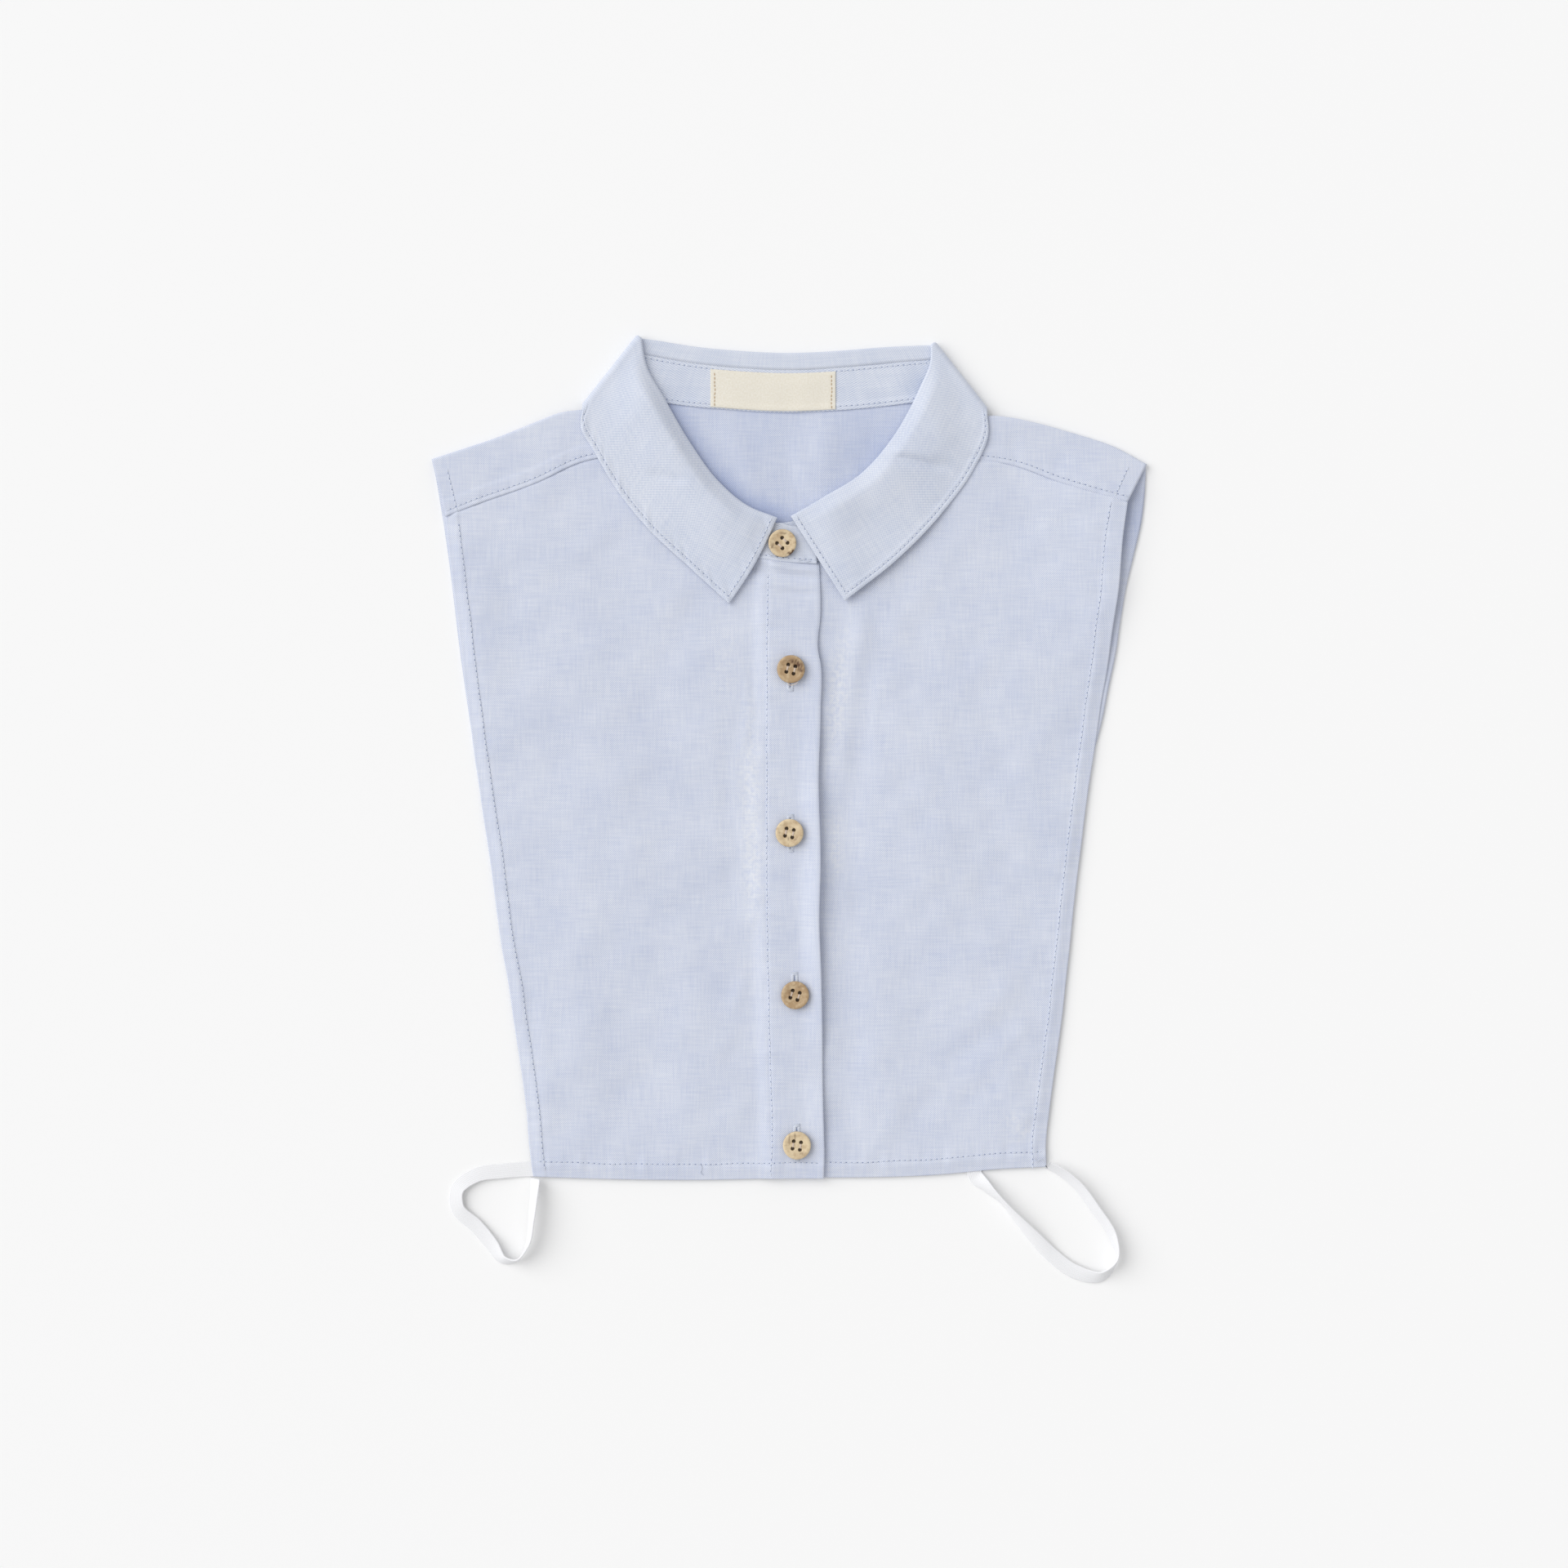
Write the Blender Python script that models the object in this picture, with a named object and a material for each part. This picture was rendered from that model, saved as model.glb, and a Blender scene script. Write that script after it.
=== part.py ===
# Detachable shirt collar for a child: a two-piece collar on a sleeveless front and back, laid flat.
# The origin is on the surface it lies on, under the middle of the part. X is the viewer's right, Y is
# towards the collar and Z is up. Sizes are in millimetres and become metres when a mesh is made.
import math

import bpy
import numpy as np

MM = 0.001

# Cloth and how it is stacked
CLOTH = 1.0                      # wall of every cloth piece
GAP = 0.3                        # space between pieces that meet
LAYER = CLOTH + GAP              # rise from one layer of cloth to the next
FOLD = LAYER / 2                 # middle radius of the tightest fold
HALF = CLOTH / 2
PLY = 0.4                        # extra thickness of the doubled placket

# Collar
SEAM_BACK = 6.0                  # seam of stand and fall, below the roll at the back
SEAM_FRONT = 1.2                 # the same at the front ends
SEAM_BLEND = 0.7                 # share of the front over which it goes from one to the other
FALL_EDGE_BACK = 146.0           # Y of the fall's hidden edge at the middle of the back
FALL_EDGE_DROP = 15.6            # how much higher that edge is at the shoulder
FALL_EDGE_HALF = 84.6            # X where it is that much higher
FALL_TUCK = 3.4                  # how far the fall's edge is drawn up where it wraps a side fold
STAND_TUCK = 1.3                 # how far the stand's neck edge is drawn up there
STAND_FADE = 2.0                 # lines of the collar over which that dies out
RISE_RAMP = 32.0                 # length over which the panels climb on to the fall's hidden leaf
FRONT_ROWS, BACK_ROWS = 14, 13   # lines across each front and the back of the collar
SEAM_ROW = 10                    # the one that the forward shoulder seam runs into
CORNER_TURNS = np.radians([30.0, 60.0, 90.0, 120.0, 150.0])
ROLL_TURNS = np.radians([40.0, 90.0, 140.0])
LEAF_STEPS = [0.0, 0.12, 0.26, 0.41, 0.56, 0.71, 0.86, 1.0]
INNER = FOLD                     # distance of the stand's layer from the middle of the flattened ring
OUTER = FOLD + LAYER             # distance of the fall's layer from it
TAB_LEFT_X = np.array([11.2, 9.4, 7.0, 3.6, 0.0, -3.4])
TAB_RIGHT_X = np.array([-1.6, -5.0, -8.4])

# Placket
FOLD_TOP, FOLD_DRIFT = 12.1, 2.3           # X of its folded edge at the top, and its drift to the hem
FOLD_DRIFT_START, FOLD_DRIFT_RUN = -40.0, 110.0
PLACKET = 20.7                   # width from the fold to the stitch line
BAND = 20.2                      # width of the button band under it
PLATEAU = 22.0                   # the left front is up on the band this far from the fold
RAMP = 6.0                       # length over which it comes down again
LEAF_START = 2.0                 # the right collar leaf comes down from here, right of the fold
LEAF_PLATEAU = 24.0              # the left one stays up a little longer than the front
LEAF_RAMP = 20.0
PLACKET_COLUMNS = np.array([34.0, PLATEAU + RAMP, 25.0, PLATEAU, PLACKET, 15.5, 10.0, 5.0, 0.0])
PLACKET_PLIES = 5                # the last of these columns, which are doubled
BAND_COLUMNS = np.array([0.0, 5.0, 10.0, 15.0, 20.0])
COLUMN_SPACE = 3.0               # least space between these columns and the next
NECK_Y, HEM_Y = 99.0, -150.0     # where their X is read

# How finely the panels are divided
BACK_HEIGHTS = np.concatenate([np.linspace(0.0, 0.82, 6), np.linspace(0.85, 1.0, 9)])
FRONT_HEIGHTS = np.concatenate([np.linspace(0.0, 0.80, 12), np.linspace(0.83, 1.0, 8)])
BACK_SHOULDER_COLUMNS, BACK_NECK_COLUMNS = 10, 11
BACK_NECK_SHARE = (0.34, 0.66)   # where the hem's columns change from shoulder to neck spacing
FRONT_SHOULDER_COLUMNS = 8
SHOULDER_TURNS = np.radians([30.0, 60.0, 90.0, 120.0, 150.0, 180.0])

# Buttons, 18 ligne
BUTTON_RADIUS = 5.72
# radius and height of the turned profile, from the underside round to the dish inside the rim
BUTTON_PROFILE = [(4.9, 0.0), (BUTTON_RADIUS, 0.7), (BUTTON_RADIUS, 1.5), (5.2, 2.3), (4.5, 2.3), (3.9, 1.8)]
HOLE_RADIUS = 0.75
HOLE_OFFSET = 1.5                # from the middle to a hole along the button's own X and Y
HOLE_ENDS = (-1.0, 3.5)          # the drills run past both faces
BUTTON_SIDES = 22
HOLE_SIDES = 6

# Elastic
TAPE_WIDTH = 6.0
TAPE_RINGS = 36

# Label
LABEL_LEFT, LABEL_RIGHT = -32.3, 18.7
LABEL_RAISE = 0.8                # its lower edge above the neck seam
LABEL_HEIGHT = 15.5
LABEL_COLUMNS, LABEL_ROWS = 12, 4

# Outlines in the plan view, as x and y. Each one is a smooth curve through its points.
ROLL_LEFT = [(-4.9, 119.0), (-16.4, 123.6), (-29.2, 134.2), (-39.8, 148.6), (-51.0, 167.7),
             (-58.4, 181.5), (-60.3, 192.3)]
LEAF_LEFT = [(-24.7, 83.9), (-41.4, 99.2), (-56.8, 113.5), (-70.6, 130.5), (-79.7, 145.9),
             (-85.2, 156.5), (-84.6, 161.6)]
ROLL_RIGHT = [(0.3, 119.6), (14.1, 127.6), (29.6, 137.5), (41.2, 150.8), (52.8, 171.8),
              (57.2, 183.0), (57.4, 189.5)]
LEAF_RIGHT = [(22.4, 85.0), (44.0, 102.1), (63.9, 123.1), (74.9, 138.6), (81.0, 154.1), (80.5, 160.1)]
ROLL_BACK = [(-61.0, 191.4), (-54.7, 190.4), (-38.7, 187.8), (-20.0, 186.0), (0.0, 185.2),
             (20.0, 186.1), (40.0, 187.7), (58.0, 188.6)]
NECK_LEFT = [(11.5, 99.8), (-4.9, 101.0), (-25.7, 105.5), (-49.0, 120.5), (-66.8, 143.8), (-74.3, 167.5)]
NECK_RIGHT = [(-8.6, 101.0), (0.3, 100.4), (26.0, 104.5), (47.5, 119.5), (64.6, 143.0), (71.7, 167.0)]
NECK_BACK = [(-74.3, 167.5), (-50.7, 165.2), (-33.0, 163.4), (0.0, 161.6), (25.0, 162.8),
             (49.3, 165.2), (71.7, 167.0)]
TAB_LEFT = [(-6.2, 116.7), (-3.5, 117.0), (3.0, 117.2), (8.5, 115.6), (11.2, 112.0)]
TAB_RIGHT = [(1.6, 117.2), (-3.0, 117.0), (-8.6, 115.0)]
SHOULDER_LEFT = [(-146.1, 143.0), (-132.3, 147.5), (-119.5, 151.8), (-102.5, 158.5), (-93.0, 162.0),
                 (-86.0, 162.9), (-82.5, 163.2), (-76.0, 167.2)]
SHOULDER_RIGHT = [(145.7, 140.9), (132.4, 148.0), (115.8, 153.5), (99.3, 158.0), (90.0, 159.9),
                  (83.2, 160.6), (79.0, 160.7), (73.2, 166.6)]
SEAM_LEFT = [(-140.4, 119.3), (-128.6, 124.0), (-103.1, 133.2), (-85.2, 141.4)]
SEAM_RIGHT = [(137.6, 125.2), (124.7, 128.7), (110.3, 133.1), (92.6, 139.7)]
SIDE_FRONT_LEFT = [(-104.5, -149.6), (-109.0, -109.5), (-114.7, -69.5), (-121.0, -29.5),
                   (-126.7, 10.5), (-132.3, 50.5), (-137.3, 90.5), (-140.4, 119.3)]
SIDE_FRONT_RIGHT = [(104.7, -145.6), (107.7, -109.5), (112.3, -69.5), (117.0, -29.5), (122.0, 10.5),
                    (127.0, 43.4), (131.6, 74.0), (135.0, 104.0), (137.6, 125.2)]
SIDE_BACK_LEFT = [(-99.7, -147.3), (-112.0, -83.0), (-124.4, -3.0), (-134.3, 63.0), (-139.6, 106.0),
                  (-145.4, 142.0)]
SIDE_BACK_RIGHT = [(82.0, -144.8), (103.0, -57.0), (127.0, 41.8), (134.6, 81.6), (141.1, 109.9),
                   (145.2, 139.8)]
HEM_LEFT = [(-104.5, -149.6), (-78.4, -150.5), (-32.5, -150.7), (14.4, -150.0)]
HEM_RIGHT = [(-5.8, -149.6), (30.0, -149.8), (57.7, -149.0), (87.4, -146.2), (104.7, -145.6)]
HEM_BACK = [(-99.7, -147.3), (-30.0, -147.0), (30.0, -146.2), (82.0, -144.8)]

# Soft swells of the front panels: x, y, reach along x, reach along y, height
SWELLS = [
    (-72.0, -18.0, 24.0, 52.0, 1.2),
    (-88.0, -96.0, 16.0, 26.0, 0.8),
    (-42.0, -104.0, 15.0, 30.0, 0.7),
    (-100.0, 52.0, 17.0, 26.0, 0.8),
    (62.0, -8.0, 24.0, 48.0, 1.2),
    (84.0, -98.0, 15.0, 24.0, 0.8),
    (40.0, -84.0, 13.0, 32.0, 0.6),
    (96.0, 54.0, 18.0, 24.0, 0.8),
]
SWELL_FADE = (58.0, 82.0)        # Y over which the swells die out below the collar

# Buttons: x, y of the middle, and turn in degrees
BUTTONS = [
    (-3.0, 108.5, 47.0),
    (0.6, 57.0, -14.0),
    (0.0, -9.5, -12.0),
    (2.3, -75.6, -18.0),
    (3.0, -136.6, -9.0),
]

# Routes of the elastic: x, y, tilt of the tape in degrees, least height of its middle
ELASTIC_LEFT = [
    (-100.8, -146.7, 0.0, 0.5),
    (-105.2, -146.7, 0.0, 0.5),
    (-117.0, -147.4, 32.0, 0.5),
    (-128.5, -149.3, 50.0, 0.5),
    (-135.6, -155.0, 72.0, 0.5),
    (-135.4, -162.4, 50.0, 0.5),
    (-128.0, -169.6, 22.0, 0.5),
    (-121.6, -177.0, 30.0, 0.5),
    (-116.6, -183.4, 58.0, 2.8),
    (-111.4, -183.6, 80.0, 3.6),
    (-107.0, -177.6, 102.0, 4.6),
    (-105.0, -166.0, 116.0, 5.2),
    (-104.0, -156.0, 150.0, 4.0),
    (-103.6, -150.1, 180.0, 1.8),
]
ELASTIC_RIGHT = [
    (75.0, -145.6, 0.0, 0.5),
    (75.6, -148.8, 0.0, 0.5),
    (80.2, -153.6, 30.0, 0.5),
    (87.0, -160.0, 60.0, 0.5),
    (93.2, -167.0, 48.0, 0.5),
    (99.6, -174.0, 32.0, 0.5),
    (107.0, -181.6, 10.0, 0.5),
    (117.0, -188.6, 14.0, 0.8),
    (127.0, -190.2, 36.0, 2.4),
    (133.2, -183.6, 46.0, 3.8),
    (131.8, -174.4, 20.0, 5.0),
    (124.6, -162.8, 10.0, 5.4),
    (115.8, -151.6, 10.0, 4.2),
    (109.0, -146.6, 6.0, 2.4),
    (105.2, -144.8, 0.0, 1.8),
]


# Curves and blends

def smooth(t):
    """Goes from 0 to 1 without a corner as t does, and stays there."""
    t = np.clip(t, 0.0, 1.0)
    return t * t * (3.0 - 2.0 * t)


def spline(points, fractions):
    """A cubic curve through the points, read at fractions of its chord length."""
    points = np.asarray(points, float)
    steps = np.linalg.norm(np.diff(points[:, :2], axis=0), axis=1)
    along = np.concatenate([[0.0], np.cumsum(steps)])
    slopes = np.gradient(points, along, axis=0)
    wanted = np.clip(np.asarray(fractions, float), 0.0, 1.0) * along[-1]
    part = np.clip(np.searchsorted(along, wanted, side="right") - 1, 0, len(along) - 2)
    span = (along[part + 1] - along[part])[:, None]
    t = (wanted - along[part])[:, None] / span
    return ((2 * t**3 - 3 * t**2 + 1) * points[part] + (t**3 - 2 * t**2 + t) * span * slopes[part]
            + (3 * t**2 - 2 * t**3) * points[part + 1] + (t**3 - t**2) * span * slopes[part + 1])


def spread(count):
    return np.linspace(0.0, 1.0, count)


def unit(vectors):
    return vectors / np.linalg.norm(vectors, axis=-1, keepdims=True)


def read_y(points, xs):
    """Y of a curve at the given X, for a curve that runs one way in X."""
    line = spline(points, spread(200))
    order = np.argsort(line[:, 0])
    return np.interp(xs, line[order, 0], line[order, 1])


# Heights of the layers

def fold_x(y):
    """X of the placket's folded edge."""
    return FOLD_TOP + FOLD_DRIFT * smooth((FOLD_DRIFT_START - y) / FOLD_DRIFT_RUN)


def fall_edge_y(x):
    """Y of the fall's hidden edge."""
    return FALL_EDGE_BACK + FALL_EDGE_DROP * (x / FALL_EDGE_HALF) ** 2


def rise(x, y):
    """Lift of every panel where the fall's hidden leaf lies under it."""
    return LAYER * smooth((y - fall_edge_y(x) + RISE_RAMP) / RISE_RAMP)


def swell(x, y):
    """Height of the soft swells of the front panels."""
    total = np.zeros(np.shape(x))
    for cx, cy, reach_x, reach_y, height in SWELLS:
        total = total + height * np.exp(-(((x - cx) / reach_x) ** 2) - ((y - cy) / reach_y) ** 2)
    return total * (1.0 - smooth((y - SWELL_FADE[0]) / (SWELL_FADE[1] - SWELL_FADE[0])))


def overlap(x, y):
    """Lift of the left front and the left tab where the right ones lie under them."""
    return LAYER * (1.0 - smooth((fold_x(y) - x - PLATEAU) / RAMP))


def leaf_lift(x, y):
    """Lift of both collar leaves over the placket, the tab and the band."""
    off = x - fold_x(y)
    left = smooth((-off - LEAF_PLATEAU) / LEAF_RAMP)
    right = smooth((off - LEAF_START) / LEAF_RAMP)
    return (LAYER + PLY) * (1.0 - np.maximum(left, right))


# Meshes

def srgb(code):
    """Linear colour of an sRGB hex code."""
    parts = [int(code[i:i + 2], 16) / 255.0 for i in (0, 2, 4)]
    return [c / 12.92 if c <= 0.04045 else ((c + 0.055) / 1.055) ** 2.4 for c in parts] + [1.0]


def make_material(name, code, roughness):
    material = bpy.data.materials.new(name)
    material.use_nodes = True
    shader = material.node_tree.nodes["Principled BSDF"]
    shader.inputs["Base Color"].default_value = srgb(code)
    shader.inputs["Roughness"].default_value = roughness
    shader.inputs["Metallic"].default_value = 0.0
    material.diffuse_color = srgb(code)
    return material


def make_object(name, points, faces, material):
    mesh = bpy.data.meshes.new(name)
    mesh.from_pydata((np.asarray(points) * MM).tolist(), [], faces)
    mesh.validate()
    mesh.materials.append(material)
    mesh.shade_smooth()
    mesh.set_sharp_from_angle(angle=math.radians(40.0))
    piece = bpy.data.objects.new(name, mesh)
    bpy.context.scene.collection.objects.link(piece)
    return piece


def grid_faces(index):
    """Quads over a grid of point numbers."""
    rows, columns = index.shape
    return [[index[r, c], index[r, c + 1], index[r + 1, c + 1], index[r + 1, c]]
            for r in range(rows - 1) for c in range(columns - 1)]


def thicken(name, lower, upper, faces, material):
    """Closed wall between two copies of a sheet: both skins, and a rim along every open edge.

    The faces wind anticlockwise seen from the upper side.
    """
    count = len(lower)
    edges = {}
    for face in faces:
        for a, b in zip(face, face[1:] + face[:1]):
            edges[(a, b)] = True
    skins = [list(face) for face in faces]
    top = [[i + count for i in face] for face in skins]
    bottom = [face[::-1] for face in skins]
    rim = [[a, b, b + count, a + count] for a, b in edges if (b, a) not in edges]
    return make_object(name, np.concatenate([lower, upper]), bottom + top + rim, material)


def grid_wall(name, lower, upper, material):
    """The same for a plain grid of points, rows by columns by 3, that runs right and then up."""
    index = np.arange(lower.shape[0] * lower.shape[1]).reshape(lower.shape[:2])
    faces = [[int(i) for i in face] for face in grid_faces(index)]
    return thicken(name, lower.reshape(-1, 3), upper.reshape(-1, 3), faces, material)


def patch(bottom, top, left, right):
    """Points of a four-sided patch between its edges: the straight blends less the corners'.

    The result has a row for each point of the left edge and a column for each of the bottom.
    """
    u = ((bottom[:, 0] - bottom[0, 0]) / (bottom[-1, 0] - bottom[0, 0]))[None, :, None]
    v = ((left[:, 1] - left[0, 1]) / (left[-1, 1] - left[0, 1]))[:, None, None]
    corners = ((1 - u) * (1 - v) * bottom[0] + u * (1 - v) * bottom[-1]
               + (1 - u) * v * top[0] + u * v * top[-1])
    return (1 - v) * bottom[None] + v * top[None] + (1 - u) * left[:, None] + u * right[:, None] - corners


def with_height(plan, z):
    return np.concatenate([plan, np.asarray(z)[..., None]], axis=-1)


# Garment panels

def neck_rows(points):
    """Front neck seam where each line of the collar meets it, from its front end to the shoulder."""
    steps = np.linalg.norm(np.diff(np.asarray(points), axis=0), axis=1)
    return spline(points, np.linspace(steps[0] / steps.sum(), 1.0, FRONT_ROWS))


def shoulder_seam(points, neck, count):
    """Forward shoulder seam from the armhole to the neck."""
    return spline(points + [tuple(neck[SEAM_ROW])], spread(count))


def shoulder_base(points, count, side):
    """Middle of the shoulder fold: the outline drawn in by the fold's outer radius, and its normals."""
    line = spline(points, spread(count))
    along = unit(np.gradient(line, axis=0))
    normal = np.stack([-along[:, 1], along[:, 0]], axis=1) * side
    return line - normal * (FOLD + HALF), normal


def make_back(material):
    """Back panel, flat on the surface, whose shoulders fold forward over themselves."""
    shoulder, neck = BACK_SHOULDER_COLUMNS, BACK_NECK_COLUMNS
    left_base, left_normal = shoulder_base(SHOULDER_LEFT, shoulder, 1.0)
    right_base, right_normal = shoulder_base(SHOULDER_RIGHT, shoulder, -1.0)
    neck_line = spline(NECK_BACK, spread(neck + 2))[1:-1]
    top = np.concatenate([left_base, neck_line, right_base[::-1]])
    columns = len(top)
    spacing = np.interp(np.arange(columns), [0, shoulder - 1, shoulder + neck, columns - 1],
                        [0.0, *BACK_NECK_SHARE, 1.0])
    bottom = spline(HEM_BACK, spacing)
    left = spline(SIDE_BACK_LEFT, BACK_HEIGHTS)
    right = spline(SIDE_BACK_RIGHT, BACK_HEIGHTS)
    left[-1], right[-1] = top[0], top[-1]
    plan = patch(bottom, top, left, right)
    z = rise(plan[..., 0], plan[..., 1])
    lower = with_height(plan, z).reshape(-1, 3)
    upper = with_height(plan, z + CLOTH).reshape(-1, 3)
    index = np.arange(len(lower)).reshape(plan.shape[:2])
    faces = grid_faces(index)
    flaps = (
        (left_base, left_normal, SEAM_LEFT, NECK_LEFT, index[-1, :shoulder], False),
        (right_base, right_normal, SEAM_RIGHT, NECK_RIGHT, index[-1, -shoulder:][::-1], True),
    )
    for base, normal, seam, neck_points, first, mirrored in flaps:
        neck = neck_rows(neck_points)
        seam_line = shoulder_seam(seam, neck, shoulder) + np.array([0.0, GAP])
        neck_edge = np.concatenate([base[-1:], neck[SEAM_ROW + 1:-1][::-1], seam_line[-1:]])
        tip_edge = base[0] + (seam_line[0] - base[0]) * spread(len(neck_edge))[:, None]
        flap = patch(base, seam_line, tip_edge, neck_edge)
        outer, inner = [], []
        for turn in SHOULDER_TURNS:
            lift = rise(base[:, 0], base[:, 1]) + FOLD + HALF
            for points, radius in ((outer, FOLD + HALF), (inner, FOLD - HALF)):
                rim = base + normal * radius * math.sin(turn)
                points.append(with_height(rim, lift - radius * math.cos(turn)))
        for line in flap[1:]:
            floor = rise(line[:, 0], line[:, 1]) + LAYER
            outer.append(with_height(line, floor + CLOTH))
            inner.append(with_height(line, floor))
        start = len(lower)
        lower = np.concatenate([lower, np.concatenate(outer)])
        upper = np.concatenate([upper, np.concatenate(inner)])
        rows = np.concatenate([first[None], np.arange(start, len(lower)).reshape(-1, shoulder)])
        faces += grid_faces(rows[:, ::-1] if mirrored else rows)
    faces = [[int(i) for i in face] for face in faces]
    return thicken("back", lower, upper, faces, material)


def make_front_left(material):
    """Left front from the armhole to the fold of its placket, which lies on the button band."""
    neck = neck_rows(NECK_LEFT)
    shoulder = shoulder_seam(SEAM_LEFT, neck, FRONT_SHOULDER_COLUMNS)
    front_x = fold_x(NECK_Y) - PLACKET_COLUMNS
    front = np.stack([front_x, read_y(NECK_LEFT[:-1], front_x)], axis=1)
    side = neck[:SEAM_ROW][::-1]
    top = np.concatenate([shoulder, side[side[:, 0] < front_x[0] - COLUMN_SPACE], front])
    bottom_x = fold_x(HEM_Y) - PLACKET_COLUMNS
    wide = np.linspace(HEM_LEFT[0][0], bottom_x[0], len(top) - len(PLACKET_COLUMNS) + 1)[:-1]
    bottom_x = np.concatenate([wide, bottom_x])
    bottom = np.stack([bottom_x, read_y(HEM_LEFT, bottom_x)], axis=1)
    left = spline(SIDE_FRONT_LEFT, FRONT_HEIGHTS)
    right_y = bottom[-1, 1] + FRONT_HEIGHTS * (top[-1, 1] - bottom[-1, 1])
    right = np.stack([fold_x(right_y), right_y], axis=1)
    left[0], left[-1], right[0], right[-1] = bottom[0], top[0], bottom[-1], top[-1]
    plan = patch(bottom, top, left, right)
    x, y = plan[..., 0], plan[..., 1]
    floor = rise(x, y) + LAYER + swell(x, y) + overlap(x, y)
    ply = np.zeros(len(top))
    ply[-PLACKET_PLIES:] = PLY
    return grid_wall("front_left", with_height(plan, floor), with_height(plan, floor + CLOTH + ply), material)


def make_front_right(material):
    """Right front from the edge of its button band, under the placket, to the armhole."""
    neck = neck_rows(NECK_RIGHT)
    shoulder = shoulder_seam(SEAM_RIGHT, neck, FRONT_SHOULDER_COLUMNS)[::-1]
    front_x = fold_x(NECK_Y) - BAND + BAND_COLUMNS
    front = np.stack([front_x, read_y(NECK_RIGHT[:-1], front_x)], axis=1)
    side = neck[:SEAM_ROW]
    top = np.concatenate([front, side[side[:, 0] > front_x[-1] + COLUMN_SPACE], shoulder])
    bottom_x = fold_x(HEM_Y) - BAND + BAND_COLUMNS
    wide = np.linspace(bottom_x[-1], HEM_RIGHT[-1][0], len(top) - len(BAND_COLUMNS) + 1)[1:]
    bottom_x = np.concatenate([bottom_x, wide])
    bottom = np.stack([bottom_x, read_y(HEM_RIGHT, bottom_x)], axis=1)
    left_y = bottom[0, 1] + FRONT_HEIGHTS * (top[0, 1] - bottom[0, 1])
    left = np.stack([fold_x(left_y) - BAND, left_y], axis=1)
    right = spline(SIDE_FRONT_RIGHT, FRONT_HEIGHTS)
    left[0], left[-1], right[0], right[-1] = bottom[0], top[0], bottom[-1], top[-1]
    plan = patch(bottom, top, left, right)
    floor = rise(plan[..., 0], plan[..., 1]) + LAYER + swell(plan[..., 0], plan[..., 1])
    return grid_wall("front_right", with_height(plan, floor), with_height(plan, floor + CLOTH), material)


# Collar

def collar_rows():
    """Lines across the collar, from the left front round the back to the right front.

    Each has the roll's base point, the edge point, the way out at the side folds, and its turn about
    the side fold: 0 on the front leaves, half a turn on the back leaf.
    """
    part = spread(FRONT_ROWS)
    roll_left, edge_left = spline(ROLL_LEFT, part), spline(LEAF_LEFT, part)
    roll_right, edge_right = spline(ROLL_RIGHT, part), spline(LEAF_RIGHT, part)
    base_left = roll_left + unit(edge_left - roll_left) * (FOLD + HALF)
    base_right = roll_right + unit(edge_right - roll_right) * (FOLD + HALF)
    back = spread(BACK_ROWS)
    edge_back_x = np.interp(back, [0.0, 1.0], [edge_left[-1, 0], edge_right[-1, 0]])
    edge_back = np.stack([edge_back_x, fall_edge_y(edge_back_x)], axis=1)
    base_back = spline([tuple(base_left[-1])] + ROLL_BACK[1:-1] + [tuple(base_right[-1])], back)
    turns = len(CORNER_TURNS)
    base = np.concatenate([base_left, np.repeat(base_left[-1:], turns, axis=0), base_back,
                           np.repeat(base_right[-1:], turns, axis=0), base_right[::-1]])
    edge = np.concatenate([edge_left, np.repeat(edge_left[-1:], turns, axis=0), edge_back,
                           np.repeat(edge_right[-1:], turns, axis=0), edge_right[::-1]])
    turn = np.concatenate([np.zeros(FRONT_ROWS), CORNER_TURNS, np.full(BACK_ROWS, np.pi),
                           CORNER_TURNS[::-1], np.zeros(FRONT_ROWS)])
    at_left, at_right = slice(FRONT_ROWS, FRONT_ROWS + turns), slice(-FRONT_ROWS - turns, -FRONT_ROWS)
    seam = np.full(len(base), SEAM_BACK)
    seam[:FRONT_ROWS] = SEAM_FRONT + (SEAM_BACK - SEAM_FRONT) * smooth(part / SEAM_BLEND)
    seam[-FRONT_ROWS:] = seam[:FRONT_ROWS][::-1]
    return base, edge, turn, seam, at_left, at_right


def outward(start, end, side):
    """Unit vector square to a side fold, away from the collar."""
    across = unit(end - start)
    return np.stack([across[..., 1], -across[..., 0]], axis=-1) * side


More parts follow.
